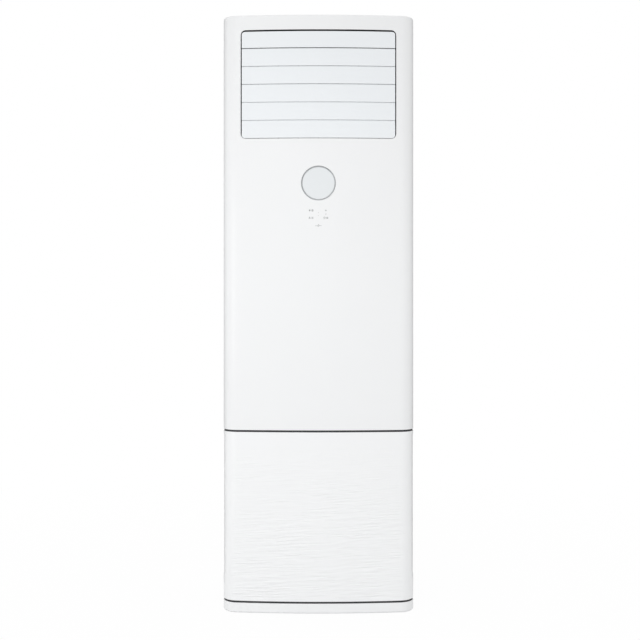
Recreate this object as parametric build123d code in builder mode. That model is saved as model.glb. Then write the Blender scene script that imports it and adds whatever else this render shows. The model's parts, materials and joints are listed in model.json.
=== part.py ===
from build123d import *

import os
from math import asin, atan2, cos, degrees, radians, sin, sqrt

# Floor standing cabinet air conditioner, millimetres.
# The front faces -Y, +X is to the viewer's right, the floor is Z = 0.

# ---------------------------------------------------------------- overall size
WIDTH = 562
DEPTH = 380
HEIGHT = 1750

# plan form of the casing: a slightly bowed front between rounded corners
BOW_RADIUS = 2200
CORNER_RADIUS = 46
TOP_EDGE_RADIUS = 5

# levels of the casing pieces above the floor
FOOT_HEIGHT = 2
PLINTH_TOP = 31
BASE_GAP = 5
PANEL_SPLIT = 531
SPLIT_GAP = 5

# sheets and walls
PANEL_WALL = 2.6
SHEET = 1.0
PAN_SHEET = 1.5
PANEL_WRAP = 78
RETURN_DEPTH = 12
COVER_RIM = 16
SIDE_FLANGE = 18

# clearances
RUN_GAP = 0.05
SEAT_GAP = 0.3
JOIN_GAP = 0.5

# plinth and feet
PLINTH_FLANGE = 44
PLINTH_LEDGE = 26
PLINTH_SHEET = 3
PLINTH_EDGE = 3
FOOT_RADIUS = 16
FOOT_PLUG_RADIUS = 4
FOOT_INSET = 26

# base pan and the holes that bolt it to the floor
PAN_INSET = 8
PAN_HEIGHT = 29
ANCHOR_RADIUS = 6
ANCHOR_SPACING_X = 360
ANCHOR_SPACING_Y = 240

# intake on both sides of the lower part
INTAKE_BOTTOM = 107
INTAKE_TOP = 521
INTAKE_RECESS = 1.2
GRILLE_DEPTH = 10
GRILLE_BORDER = 7
GRILLE_LEAD = 0.9
SLAT_PITCH = 16
SLAT_THICKNESS = 1.8
SLAT_DROP = 9

# air filters, drawn out sideways
FILTER_THICKNESS = 8
FILTER_BORDER = 10
FILTER_MESH = 1.0
FILTER_MARGIN = 2
HANDLE_WIDTH = 17
HANDLE_THICKNESS = 2
RAIL_WALL = 1.5
RAIL_LIP = 5

# blower
WHEEL_RADIUS = 140
WHEEL_X = -30
WHEEL_Z = 290
WHEEL_WIDTH = 92
BLADE_COUNT = 32
BLADE_CHORD = 25
BLADE_THICKNESS = 1.6
BLADE_LEAD = 7
BLADE_CLEAR = 1
WHEEL_DISC = 2.5
WHEEL_RING = 3
HUB_RADIUS = 22
HUB_LENGTH = 34
HUB_SETBACK = 58
CONE_RADIUS = 63
CONE_STEP = 1
SHAFT_RADIUS = 6
SHAFT_NOSE = 4
SHAFT_NUT_RADIUS = 11
BULKHEAD_Y = 1.5
INLET_RADIUS = 112
INLET_ROLL = 9
SCROLL_STEP = 20
SCROLL_START = 160
SCROLL_TONGUE = 45
TONGUE_RADIUS = 8
WHEEL_GAP = 5
MOTOR_RADIUS = 62
MOTOR_LENGTH = 54
MOTOR_HOLE = 30
MOTOR_PLATE = 3
MOTOR_ARM = 192
MOTOR_EDGE = 10

# chamber over the blower
PARTITION_Z = 541
CONTROL_WIDTH = 300
CONTROL_DEPTH = 78
CONTROL_HEIGHT = 148
CONTROL_SETBACK = 22
BOARD_STANDOFF = 6
BOARD_THICKNESS = 1.6
BOARD_PARTS = 28
TERMINAL_COUNT = 5
TERMINAL_PITCH = 19
TERMINAL_DEPTH = 24
DRAIN_PAN_Z = 698
DRAIN_PAN_DEPTH = 92
DRAIN_PAN_HEIGHT = 30
DRAIN_PAN_WALL = 2
DRAIN_PAN_LAP = 10
COIL_SIDE = 46
COIL_LENGTH = 640
COIL_THICKNESS = 38
COIL_BACK = 8.4
COIL_FRONT = 112
COIL_LIP = 5
COIL_TAB = 68
FIN_PITCH = 15
FIN_SLOT = 3
FIN_DEPTH = 9
TUBE_RADIUS = 4.8
TUBE_BEND = 12.7
TUBE_COUNT = 5
TUBE_SIDES = 8
TUBE_PITCH = 84
TUBE_START = 192
TUBE_STUB = 4

# refrigerant pipes and drain hose: their lanes down the right side and turns to the rear
GAS_RADIUS = 8
LIQUID_RADIUS = 4.8
HOSE_RADIUS = 8
PIPE_BEND = 2.4
LANE_GAP = 3
GAS_LANE_SIDE = 25
GAS_LANE_SPACE = 91
GAS_TURN_SPACE = 35
GAS_START = 40
GAS_RISE = 22
GAS_SHIFT = 10
LIQUID_LANE_SIDE = 19
LIQUID_LANE_SPACE = 61
LIQUID_TURN_SPACE = 27
LIQUID_START = 110
LIQUID_SHIFT = 18
HOSE_LANE_SIDE = 52
HOSE_LANE_SETBACK = 45
HOSE_TURN_SPACE = 30
HOSE_SHIFT = 10
HOSE_DROP = 18
UNION_SPACE = 24
NUT_LENGTH = 20
NUT_OVERHANG = 4
NUT_SIZE = 1.7

# round display and touch keys
DISPLAY_DROP = 492
DISPLAY_RADIUS = 50
BEZEL_WIDTH = 3
BEZEL_DEPTH = 9
BEZEL_EDGE = 1
DISPLAY_RECESS = 1.0
LENS_RECESS = 0.8
LENS_THICKNESS = 2
KEYS_WIDTH = 84
KEYS_HEIGHT = 78
KEYS_SPACE = 3
KEYS_BOW = 0.7
HOUSING_BOW = 1.1
HOUSING_FLANGE = 10
HOUSING_DEPTH = 14
HOUSING_WALL = 2

# air outlet
OUTLET_SIDE = 54
OUTLET_DROP = 44.6
OUTLET_SLACK = 1.8
OUTLET_CORNER = 13
DUCT_WALL = 3
DUCT_BACK = 130
DUCT_SKIRT = 20
DUCT_HEADROOM = 2
LOUVRE_CLEAR = 1.5

# louvres, closed and flush in the outlet when at rest
LOUVRE_COUNT = 6
LOUVRE_PITCH = 52.6
LOUVRE_GAP = 3.2
LOUVRE_SAG = 0.3
LOUVRE_THICKNESS = 2.6
LOUVRE_SPINE = 2.2
LAP_THICKNESS = 1.2
LAP_GAP = 0.8
LOUVRE_END_GAP = 2.5
LOUVRE_FLUSH = 0.6
LOUVRE_AXIS_DEPTH = 7.76
LOUVRE_SWEEP = 7
PIVOT_RADIUS = 2.5
EAR_THICKNESS = 3
EAR_SINK = 1
CRANK_LENGTH = 14
CRANK_ANGLE = -35
CRANK_THICKNESS = 2.5
CRANK_WIDTH = 8
CRANK_PIN_RADIUS = 2
LINK_THICKNESS = 3
LINK_WIDTH = 9

# step motors of the louvres and the vanes
MOTOR_SOCKET = 6
GEAR_BOX = 10
GEAR_BOX_WIDTH = 24
STEP_MOTOR_RADIUS = 11
STEP_MOTOR_LENGTH = 15
STEP_MOTOR_SHIFT = 13
VANE_MOTOR_RADIUS = 14
VANE_MOTOR_LENGTH = 12
VANE_MOTOR_EARS = 46
VANE_MOTOR_EAR = 9

# vanes behind the louvres
VANE_COUNT = 7
VANE_SIDE = 47
VANE_THICKNESS = 2.4
VANE_LEAD = 12
VANE_TRAIL = 48
VANE_SETBACK = 78
VANE_CRANK = 40
VANE_NOTCH = 14
NOTCH_HEIGHT = 14

# rear and services
BACK_SETBACK = 4
RIB_WIDTH = 24
RIB_END_SPACE = 110
PIPE_HOLE_RADIUS = 40
PIPE_SIDE = 85
PIPE_Z = 118
GLAND_SIDE = 81
GLAND_Z = 92
GLAND_RADIUS = 11
BRACKET_WIDTH = 104
BRACKET_SLOT = 14
BRACKET_SLOT_WIDTH = 6
BRACKET_THICKNESS = 2
BRACKET_WINDOW = 22
BRACKET_SLOT_PITCH = 54
BRACKET_HEIGHT = 36
BRACKET_CORNER = 5
BRACKET_DROP = 48
GROMMET_WALL = 5
GROMMET_FLANGE = 4
GROMMET_LIP = 2
GLAND_REACH = 12
GLAND_FLANGE = 4

# ---------------------------------------------------------------- derived places
HALF = WIDTH / 2
FRONT_Y = -DEPTH / 2
BACK_Y = DEPTH / 2
BOW_CENTRE_Y = FRONT_Y + BOW_RADIUS
CORNER_X = HALF - CORNER_RADIUS
CORNER_Y = BOW_CENTRE_Y - sqrt((BOW_RADIUS - CORNER_RADIUS) ** 2 - CORNER_X**2)
BOW_ANGLE = degrees(atan2(CORNER_X, BOW_CENTRE_Y - CORNER_Y))
WRAP_Y = FRONT_Y + PANEL_WRAP
SIDE_FRONT_Y = WRAP_Y + JOIN_GAP
LOWER_BOTTOM = PLINTH_TOP + BASE_GAP
UPPER_BOTTOM = PANEL_SPLIT + SPLIT_GAP
COVER_BOTTOM = HEIGHT - COVER_RIM
SIDE_TOP = COVER_BOTTOM - JOIN_GAP
INNER_X = HALF - SHEET - SEAT_GAP
FLANGE_X = HALF - SIDE_FLANGE
BACK_PLATE_Y = BACK_Y - BACK_SETBACK - SHEET
INNER_BACK_Y = BACK_PLATE_Y - SHEET - SEAT_GAP
PAN_TOP = PLINTH_TOP + PAN_HEIGHT
PIPE_X = HALF - PIPE_SIDE
GLAND_X = GLAND_SIDE - HALF
BRACKET_Z = HEIGHT - BRACKET_DROP
DISPLAY_Z = HEIGHT - DISPLAY_DROP
FRONT_INSET = PANEL_WALL + SEAT_GAP + 0.1

BULKHEAD_BACK_Y = BULKHEAD_Y + PAN_SHEET
WHEEL_FRONT_Y = BULKHEAD_BACK_Y + WHEEL_GAP
WHEEL_BACK_Y = WHEEL_FRONT_Y + WHEEL_WIDTH
SCROLL_BACK_Y = WHEEL_BACK_Y + WHEEL_GAP
MOTOR_FRONT_Y = SCROLL_BACK_Y + PAN_SHEET + MOTOR_PLATE
FILTER_BACK_Y = BULKHEAD_Y - RAIL_LIP - RAIL_WALL
FILTER_Y = FILTER_BACK_Y - FILTER_THICKNESS / 2
HANDLE_FRONT_Y = FILTER_Y - HANDLE_WIDTH / 2
NOTCH_BACK_Y = FILTER_Y + HANDLE_WIDTH / 2 + JOIN_GAP
GRILLE_BACK_Y = HANDLE_FRONT_Y - JOIN_GAP
GRILLE_FRONT_Y = CORNER_Y - GRILLE_LEAD
GRILLE_WIDTH = GRILLE_BACK_Y - GRILLE_FRONT_Y
FILTER_BOTTOM = INTAKE_BOTTOM + FILTER_MARGIN
FILTER_TOP = INTAKE_TOP - FILTER_MARGIN

OUTLET_WIDTH = WIDTH - 2 * OUTLET_SIDE
OUTLET_TOP = HEIGHT - OUTLET_DROP
OUTLET_BOTTOM = OUTLET_TOP - LOUVRE_COUNT * LOUVRE_PITCH - OUTLET_SLACK
LOUVRE_HEIGHT = LOUVRE_PITCH - LOUVRE_GAP
LOUVRE_MIDDLE_Z = (OUTLET_BOTTOM + OUTLET_TOP) / 2 - LOUVRE_SAG
OUTLET_SWEEP = BOW_RADIUS - sqrt(BOW_RADIUS**2 - (OUTLET_WIDTH / 2) ** 2)
LOUVRE_AXIS_SETBACK = OUTLET_SWEEP + LOUVRE_AXIS_DEPTH
LOUVRE_AXIS_Y = FRONT_Y + LOUVRE_AXIS_SETBACK
LOUVRE_END_X = OUTLET_WIDTH / 2 - LOUVRE_END_GAP
LOUVRE_FACE_RADIUS = BOW_RADIUS - LOUVRE_FLUSH
LOUVRE_REACH = sqrt((LOUVRE_AXIS_SETBACK - LOUVRE_FLUSH) ** 2 + (LOUVRE_HEIGHT / 2) ** 2)
DUCT_HALF = OUTLET_WIDTH / 2 + JOIN_GAP
DUCT_TOP = OUTLET_TOP + DUCT_HEADROOM
DUCT_BACK_Y = FRONT_Y + DUCT_BACK
VANE_Y = FRONT_Y + VANE_SETBACK
VANE_PITCH = (OUTLET_WIDTH - 2 * VANE_SIDE) / (VANE_COUNT - 1)


def louvre_z(number):
    """Height of a louvre's axis, number 1 at the top."""
    return LOUVRE_MIDDLE_Z + LOUVRE_PITCH * ((LOUVRE_COUNT + 1) / 2 - number)


def vane_x(number):
    """Place of a vane's axis, number 1 at the left."""
    return VANE_PITCH * (number - (VANE_COUNT + 1) / 2)


DUCT_FLOOR = louvre_z(LOUVRE_COUNT) - LOUVRE_REACH - LOUVRE_CLEAR
LINK_Z = (DUCT_FLOOR + DUCT_TOP) / 2


def keep(piece, name):
    """Label a finished piece and write its file."""
    piece.part.label = name
    export_step(piece.part, f"parts/{name}.step")


def corner_point(radius, angle):
    """A point on the right front corner, angle measured from +X."""
    turn = radians(angle)
    return (CORNER_X + radius * cos(turn), CORNER_Y + radius * sin(turn))


def mirrored(point):
    return (-point[0], point[1])


def plan_outline(inset, back, mode=Mode.ADD):
    """Plan of the casing drawn in by inset, from the bowed front to a straight back."""
    corner = CORNER_RADIUS - inset
    side = corner_point(corner, 0)
    middle = corner_point(corner, (BOW_ANGLE - 90) / 2)
    front = corner_point(corner, BOW_ANGLE - 90)
    with BuildLine() as outline:
        ThreePointArc(side, middle, front)
        ThreePointArc(front, (0, FRONT_Y + inset), mirrored(front))
        ThreePointArc(mirrored(front), mirrored(middle), mirrored(side))
        Polyline(mirrored(side), (-side[0], back), (side[0], back), side)
    make_face(outline.edges(), mode=mode)


def block(x_range, y_range, z_range, mode=Mode.ADD):
    """A plain block between three pairs of limits."""
    size = [high - low for low, high in (x_range, y_range, z_range)]
    centre = [(high + low) / 2 for low, high in (x_range, y_range, z_range)]
    with Locations(tuple(centre)):
        Box(*size, mode=mode)


os.makedirs("parts", exist_ok=True)

# ---------------------------------------------------------------- plinth and feet
with BuildPart() as base_plinth:
    with BuildSketch(Plane.XY.offset(FOOT_HEIGHT)):
        plan_outline(0, BACK_Y)
    extrude(amount=PLINTH_TOP - FOOT_HEIGHT)
    bottom_edges = base_plinth.faces().sort_by(Axis.Z)[0].edges()
    chamfer(bottom_edges, length=PLINTH_EDGE)
    with BuildSketch(Plane.XY.offset(FOOT_HEIGHT + PLINTH_SHEET)):
        plan_outline(PLINTH_SHEET, BACK_Y - PLINTH_SHEET)
    extrude(amount=PLINTH_TOP - FOOT_HEIGHT - 2 * PLINTH_SHEET, mode=Mode.SUBTRACT)
    with BuildSketch(Plane.XY.offset(FOOT_HEIGHT)):
        plan_outline(PLINTH_FLANGE, BACK_Y - PLINTH_FLANGE)
    extrude(amount=PLINTH_SHEET, mode=Mode.SUBTRACT)
    with BuildSketch(Plane.XY.offset(PLINTH_TOP - PLINTH_SHEET)):
        plan_outline(PLINTH_LEDGE, BACK_Y - PLINTH_LEDGE)
    extrude(amount=PLINTH_SHEET, mode=Mode.SUBTRACT)
    foot_front = corner_point(CORNER_RADIUS - FOOT_INSET, -45)
    foot_back = (HALF - FOOT_INSET, BACK_Y - FOOT_INSET)
    foot_places = [foot_front, mirrored(foot_front), foot_back, mirrored(foot_back)]
    with BuildSketch(Plane.XY.offset(FOOT_HEIGHT)):
        with Locations(foot_places):
            Circle(FOOT_PLUG_RADIUS + RUN_GAP)
    extrude(amount=PLINTH_SHEET, mode=Mode.SUBTRACT)
keep(base_plinth, "base_plinth")

with BuildPart() as rubber_feet:
    with BuildSketch():
        with Locations(foot_places):
            Circle(FOOT_RADIUS)
    extrude(amount=FOOT_HEIGHT)
    with BuildSketch(Plane.XY.offset(FOOT_HEIGHT)):
        with Locations(foot_places):
            Circle(FOOT_PLUG_RADIUS)
    extrude(amount=PLINTH_SHEET)
keep(rubber_feet, "rubber_feet")

# ---------------------------------------------------------------- base pan
with BuildPart() as base_pan:
    with BuildSketch(Plane.XY.offset(PLINTH_TOP)):
        plan_outline(PAN_INSET, INNER_BACK_Y - PAN_INSET)
    extrude(amount=PAN_HEIGHT)
    with BuildSketch(Plane.XY.offset(PLINTH_TOP + PAN_SHEET)):
        plan_outline(PAN_INSET + PAN_SHEET, INNER_BACK_Y - PAN_INSET - PAN_SHEET)
    extrude(amount=PAN_HEIGHT, mode=Mode.SUBTRACT)
    with BuildSketch(Plane.XY.offset(PAN_TOP - PAN_SHEET)):
        plan_outline(FRONT_INSET, WRAP_Y)
        with Locations((0, (WRAP_Y + INNER_BACK_Y) / 2)):
            Rectangle(2 * INNER_X, INNER_BACK_Y - WRAP_Y)
        plan_outline(PAN_INSET, INNER_BACK_Y - PAN_INSET, mode=Mode.SUBTRACT)
    extrude(amount=PAN_SHEET)
    with BuildSketch(Plane.XY.offset(PLINTH_TOP)):
        with GridLocations(ANCHOR_SPACING_X, ANCHOR_SPACING_Y, 2, 2):
            Circle(ANCHOR_RADIUS)
    extrude(amount=PAN_SHEET, mode=Mode.SUBTRACT)
keep(base_pan, "base_pan")

# ---------------------------------------------------------------- sides, back and top
with BuildPart() as side_plate_right:
    block((HALF - SHEET, HALF), (SIDE_FRONT_Y, BACK_PLATE_Y), (LOWER_BOTTOM, SIDE_TOP))
    block((FLANGE_X, HALF - SHEET), (BACK_PLATE_Y - SHEET, BACK_PLATE_Y), (LOWER_BOTTOM, SIDE_TOP))
    block((FLANGE_X, HALF - SHEET), (SIDE_FRONT_Y, BACK_PLATE_Y - SHEET), (SIDE_TOP - SHEET, SIDE_TOP))
    block(
        (HALF - SHEET, HALF),
        (SIDE_FRONT_Y, NOTCH_BACK_Y),
        (INTAKE_BOTTOM, INTAKE_TOP),
        mode=Mode.SUBTRACT,
    )
keep(side_plate_right, "side_plate_right")

with BuildPart() as side_plate_left:
    mirror(side_plate_right.part, about=Plane.YZ)
keep(side_plate_left, "side_plate_left")

with BuildPart() as back_plate:
    block((-INNER_X, INNER_X), (BACK_PLATE_Y, BACK_PLATE_Y + SHEET), (LOWER_BOTTOM, SIDE_TOP))
    for rib_x in (-WIDTH / 4, 0, WIDTH / 4):
        with BuildSketch(Plane.XZ.offset(-BACK_PLATE_Y - SHEET)):
            with Locations((rib_x, (BRACKET_Z + PIPE_Z) / 2)):
                SlotOverall(BRACKET_Z - PIPE_Z - 2 * RIB_END_SPACE, RIB_WIDTH, rotation=90)
        extrude(amount=-SHEET)
    with BuildSketch(Plane.XZ.offset(-BACK_PLATE_Y)):
        with Locations((PIPE_X, PIPE_Z)):
            Circle(PIPE_HOLE_RADIUS)
        with Locations((GLAND_X, GLAND_Z)):
            Circle(GLAND_RADIUS)
        with Locations((0, BRACKET_Z)):
            Rectangle(BRACKET_SLOT_PITCH + 2 * BRACKET_SLOT, BRACKET_WINDOW)
    extrude(amount=-SHEET, mode=Mode.SUBTRACT)
keep(back_plate, "back_plate")

with BuildPart() as top_cover:
    block((-HALF, HALF), (SIDE_FRONT_Y, BACK_Y), (COVER_BOTTOM, HEIGHT))
    top_edges = top_cover.faces().sort_by(Axis.Z)[-1].edges().sort_by(Axis.Y)[1:]
    fillet(top_edges, radius=TOP_EDGE_RADIUS)
    offset(amount=-PAN_SHEET, openings=top_cover.faces().sort_by(Axis.Z)[0])
keep(top_cover, "top_cover")

# ---------------------------------------------------------------- front panels
with BuildPart() as upper_front_panel:
    with BuildSketch(Plane.XY.offset(UPPER_BOTTOM)):
        plan_outline(0, WRAP_Y)
    extrude(amount=HEIGHT - UPPER_BOTTOM)
    top_edges = upper_front_panel.faces().sort_by(Axis.Z)[-1].edges().sort_by(Axis.Y)[:-1]
    fillet(top_edges, radius=TOP_EDGE_RADIUS)
    offset(amount=-PANEL_WALL, openings=upper_front_panel.faces().sort_by(Axis.Y)[-1])
    with BuildSketch(Plane.XY.offset(UPPER_BOTTOM)):
        plan_outline(RETURN_DEPTH, WRAP_Y)
    extrude(amount=PANEL_WALL, mode=Mode.SUBTRACT)
    with BuildSketch(Plane.XZ.offset(-WRAP_Y)):
        with Locations((0, (OUTLET_BOTTOM + OUTLET_TOP) / 2)):
            RectangleRounded(OUTLET_WIDTH, OUTLET_TOP - OUTLET_BOTTOM, OUTLET_CORNER)
        with Locations((0, DISPLAY_Z)):
            Circle(DISPLAY_RADIUS + JOIN_GAP)
    extrude(amount=PANEL_WRAP, mode=Mode.SUBTRACT)
keep(upper_front_panel, "upper_front_panel")

with BuildPart() as lower_front_panel:
    with BuildSketch(Plane.XY.offset(LOWER_BOTTOM)):
        plan_outline(0, WRAP_Y)
        plan_outline(PANEL_WALL, WRAP_Y, mode=Mode.SUBTRACT)
    extrude(amount=PANEL_SPLIT - LOWER_BOTTOM)
    returns = ((LOWER_BOTTOM, PAN_INSET - JOIN_GAP), (PANEL_SPLIT - PANEL_WALL, RETURN_DEPTH))
    for level, depth in returns:
        with BuildSketch(Plane.XY.offset(level)):
            plan_outline(0, WRAP_Y)
            plan_outline(depth, WRAP_Y, mode=Mode.SUBTRACT)
        extrude(amount=PANEL_WALL)
    with BuildSketch(Plane.XY.offset(INTAKE_BOTTOM)):
        with Locations((0, GRILLE_FRONT_Y - JOIN_GAP + DEPTH / 2)):
            with GridLocations(WIDTH, 1, 2, 1):
                Rectangle(CORNER_RADIUS, DEPTH)
    extrude(amount=INTAKE_TOP - INTAKE_BOTTOM, mode=Mode.SUBTRACT)
    with BuildSketch(Plane.XY.offset(INTAKE_BOTTOM)):
        plan_outline(0, WRAP_Y)
        plan_outline(INTAKE_RECESS, WRAP_Y, mode=Mode.SUBTRACT)
        with Locations((0, GRILLE_FRONT_Y)):
            Rectangle(2 * WIDTH, CORNER_RADIUS, mode=Mode.INTERSECT)
    extrude(amount=INTAKE_TOP - INTAKE_BOTTOM, mode=Mode.SUBTRACT)
keep(lower_front_panel, "lower_front_panel")

# ---------------------------------------------------------------- intake grilles
GRILLE_OUT_X = HALF - INTAKE_RECESS
GRILLE_IN_X = GRILLE_OUT_X - GRILLE_DEPTH
GRILLE_LOW = INTAKE_BOTTOM + JOIN_GAP
GRILLE_HIGH = INTAKE_TOP - JOIN_GAP
SLAT_COUNT = int((GRILLE_HIGH - GRILLE_LOW - 2 * GRILLE_BORDER) / SLAT_PITCH)

with BuildPart() as intake_grille_right:
    with BuildSketch(Plane.YZ.offset(GRILLE_IN_X)):
        with Locations(((GRILLE_FRONT_Y + GRILLE_BACK_Y) / 2, (GRILLE_LOW + GRILLE_HIGH) / 2)):
            Rectangle(GRILLE_WIDTH, GRILLE_HIGH - GRILLE_LOW)
            Rectangle(
                GRILLE_WIDTH - 2 * GRILLE_BORDER,
                GRILLE_HIGH - GRILLE_LOW - 2 * GRILLE_BORDER,
                mode=Mode.SUBTRACT,
            )
    extrude(amount=GRILLE_DEPTH)
    slat_plane = Plane.XZ.offset(-GRILLE_BACK_Y + GRILLE_BORDER)
    for slat in range(SLAT_COUNT):
        high = (GRILLE_LOW + GRILLE_HIGH) / 2 + SLAT_PITCH * (slat - (SLAT_COUNT - 1) / 2) + SLAT_DROP / 2
        with BuildSketch(slat_plane):
            with BuildLine():
                Polyline(
                    (GRILLE_IN_X, high),
                    (GRILLE_OUT_X, high - SLAT_DROP),
                    (GRILLE_OUT_X, high - SLAT_DROP - SLAT_THICKNESS),
                    (GRILLE_IN_X, high - SLAT_THICKNESS),
                    close=True,
                )
            make_face()
        extrude(amount=GRILLE_WIDTH - 2 * GRILLE_BORDER)
keep(intake_grille_right, "intake_grille_right")

with BuildPart() as intake_grille_left:
    mirror(intake_grille_right.part, about=Plane.YZ)
keep(intake_grille_left, "intake_grille_left")

# ---------------------------------------------------------------- filters and their rails
FILTER_IN_X = RAIL_WALL * 2
FILTER_OUT_X = HALF - HANDLE_THICKNESS - JOIN_GAP
FILTER_MIDDLE_X = (FILTER_IN_X + FILTER_OUT_X) / 2
FILTER_MIDDLE_Z = (FILTER_BOTTOM + FILTER_TOP) / 2
FILTER_LENGTH = FILTER_OUT_X - FILTER_IN_X
FILTER_HEIGHT = FILTER_TOP - FILTER_BOTTOM
MESH_PITCH_X = (FILTER_LENGTH - FILTER_BORDER) / 2
MESH_PITCH_Z = (FILTER_HEIGHT - FILTER_BORDER) / 3

with BuildPart() as air_filter_right:
    with BuildSketch(Plane.XZ.offset(-FILTER_BACK_Y)):
        with Locations((FILTER_MIDDLE_X, FILTER_MIDDLE_Z)):
            Rectangle(FILTER_LENGTH, FILTER_HEIGHT)
            with GridLocations(MESH_PITCH_X, MESH_PITCH_Z, 2, 3):
                Rectangle(MESH_PITCH_X - FILTER_BORDER, MESH_PITCH_Z - FILTER_BORDER, mode=Mode.SUBTRACT)
    extrude(amount=FILTER_THICKNESS)
    with BuildSketch(Plane.XZ.offset(-FILTER_Y - FILTER_MESH / 2)):
        with Locations((FILTER_MIDDLE_X, FILTER_MIDDLE_Z)):
            Rectangle(FILTER_LENGTH - FILTER_BORDER, FILTER_HEIGHT - FILTER_BORDER)
    extrude(amount=FILTER_MESH)
    block(
        (FILTER_OUT_X, FILTER_OUT_X + HANDLE_THICKNESS),
        (HANDLE_FRONT_Y, HANDLE_FRONT_Y + HANDLE_WIDTH),
        (INTAKE_BOTTOM + JOIN_GAP, INTAKE_TOP - JOIN_GAP),
    )
keep(air_filter_right, "air_filter_right")

with BuildPart() as air_filter_left:
    mirror(air_filter_right.part, about=Plane.YZ)
keep(air_filter_left, "air_filter_left")

RAIL_FRONT_Y = FILTER_BACK_Y - FILTER_THICKNESS - JOIN_GAP - RAIL_WALL
with BuildPart() as filter_rails:
    for edge, away in ((FILTER_BOTTOM, -1), (FILTER_TOP, 1)):
        floor = edge + away * SEAT_GAP
        outside = floor + away * RAIL_WALL
        lip = floor - away * RAIL_LIP
        with BuildSketch(Plane.YZ.offset(-FILTER_OUT_X)):
            with BuildLine():
                Polyline(
                    (RAIL_FRONT_Y, outside),
                    (BULKHEAD_Y, outside),
                    (BULKHEAD_Y, lip),
                    (BULKHEAD_Y - RAIL_WALL, lip),
                    (BULKHEAD_Y - RAIL_WALL, floor),
                    (FILTER_BACK_Y + JOIN_GAP + RAIL_WALL, floor),
                    (FILTER_BACK_Y + JOIN_GAP + RAIL_WALL, lip),
                    (FILTER_BACK_Y + JOIN_GAP, lip),
                    (FILTER_BACK_Y + JOIN_GAP, floor),
                    (RAIL_FRONT_Y + RAIL_WALL, floor),
                    (RAIL_FRONT_Y + RAIL_WALL, lip),
                    (RAIL_FRONT_Y, lip),
                    close=True,
                )
            make_face()
        extrude(amount=2 * FILTER_OUT_X)
keep(filter_rails, "filter_rails")

# ---------------------------------------------------------------- blower
WHEEL_AXIS = Axis((WHEEL_X, 0, WHEEL_Z), (0, 1, 0))
BLADE_TOP = WHEEL_RADIUS - BLADE_CLEAR
BLADE_ROOT = WHEEL_RADIUS - BLADE_CHORD


def wheel_point(radius, angle):
    """A point in the wheel's own plane, angle in degrees."""
    return (radius * cos(radians(angle)), radius * sin(radians(angle)))


with BuildPart() as fan_bulkhead:
    block((-INNER_X, INNER_X), (BULKHEAD_Y, BULKHEAD_BACK_Y), (PAN_TOP, PARTITION_Z))
    with BuildSketch(Plane.XZ.offset(-BULKHEAD_Y)):
        with Locations((WHEEL_X, WHEEL_Z)):
            Circle(INLET_RADIUS + INLET_ROLL)
    extrude(amount=-PAN_SHEET, mode=Mode.SUBTRACT)
    roll_x = WHEEL_X + INLET_RADIUS + INLET_ROLL
    roll_y = BULKHEAD_Y + INLET_ROLL
    with BuildSketch(Plane.XY.offset(WHEEL_Z)):
        with BuildLine():
            Polyline(
                (roll_x, BULKHEAD_Y),
                (roll_x - INLET_ROLL * 0.7, BULKHEAD_Y + INLET_ROLL * 0.3),
                (roll_x - INLET_ROLL, roll_y),
                (roll_x - INLET_ROLL + PAN_SHEET, roll_y),
                (roll_x - INLET_ROLL * 0.6, BULKHEAD_BACK_Y + INLET_ROLL * 0.3),
                (roll_x, BULKHEAD_BACK_Y),
                close=True,
            )
        make_face()
    revolve(axis=WHEEL_AXIS)
keep(fan_bulkhead, "fan_bulkhead")

# the scroll widens by one step in each quarter turn, drawn in the X-Z plane
TONGUE_X = WHEEL_X + SCROLL_TONGUE
FIRST_CENTRE = (WHEEL_X - SCROLL_STEP / 2, WHEEL_Z - SCROLL_STEP / 2)
SECOND_CENTRE = (WHEEL_X + SCROLL_STEP / 2, WHEEL_Z - SCROLL_STEP / 2)
THIRD_CENTRE = (WHEEL_X + SCROLL_STEP / 2, WHEEL_Z + SCROLL_STEP / 2)
SECOND_RADIUS = SCROLL_START + SCROLL_STEP
THIRD_RADIUS = SECOND_RADIUS + SCROLL_STEP
SCROLL_RIGHT_X = THIRD_CENTRE[0] + THIRD_RADIUS


def around(centre, radius, angle):
    """A point on a circle about a centre."""
    return (centre[0] + radius * cos(radians(angle)), centre[1] + radius * sin(radians(angle)))


tongue_run = TONGUE_X - FIRST_CENTRE[0]
tongue_angle = degrees(atan2(sqrt(SCROLL_START**2 - tongue_run**2), tongue_run))
tongue = around(FIRST_CENTRE, SCROLL_START, tongue_angle)
scroll_left = around(FIRST_CENTRE, SCROLL_START, 180)
scroll_low = around(SECOND_CENTRE, SECOND_RADIUS, 270)
scroll_right = around(THIRD_CENTRE, THIRD_RADIUS, 0)
with BuildSketch() as scroll_space:
    with BuildLine():
        ThreePointArc(tongue, around(FIRST_CENTRE, SCROLL_START, (tongue_angle + 180) / 2), scroll_left)
        ThreePointArc(scroll_left, around(SECOND_CENTRE, SECOND_RADIUS, 225), scroll_low)
        ThreePointArc(scroll_low, around(THIRD_CENTRE, THIRD_RADIUS, 315), scroll_right)
        Polyline(scroll_right, (SCROLL_RIGHT_X, PARTITION_Z), (TONGUE_X, PARTITION_Z), tongue)
    make_face()
    fillet(scroll_space.vertices().sort_by_distance((tongue[0], tongue[1], 0))[0], radius=TONGUE_RADIUS)

with BuildSketch() as scroll_wall:
    add(scroll_space.sketch_local)
    offset(amount=PAN_SHEET)
    with Locations((0, PARTITION_Z + HEIGHT / 2)):
        Rectangle(2 * WIDTH, HEIGHT, mode=Mode.SUBTRACT)

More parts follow.
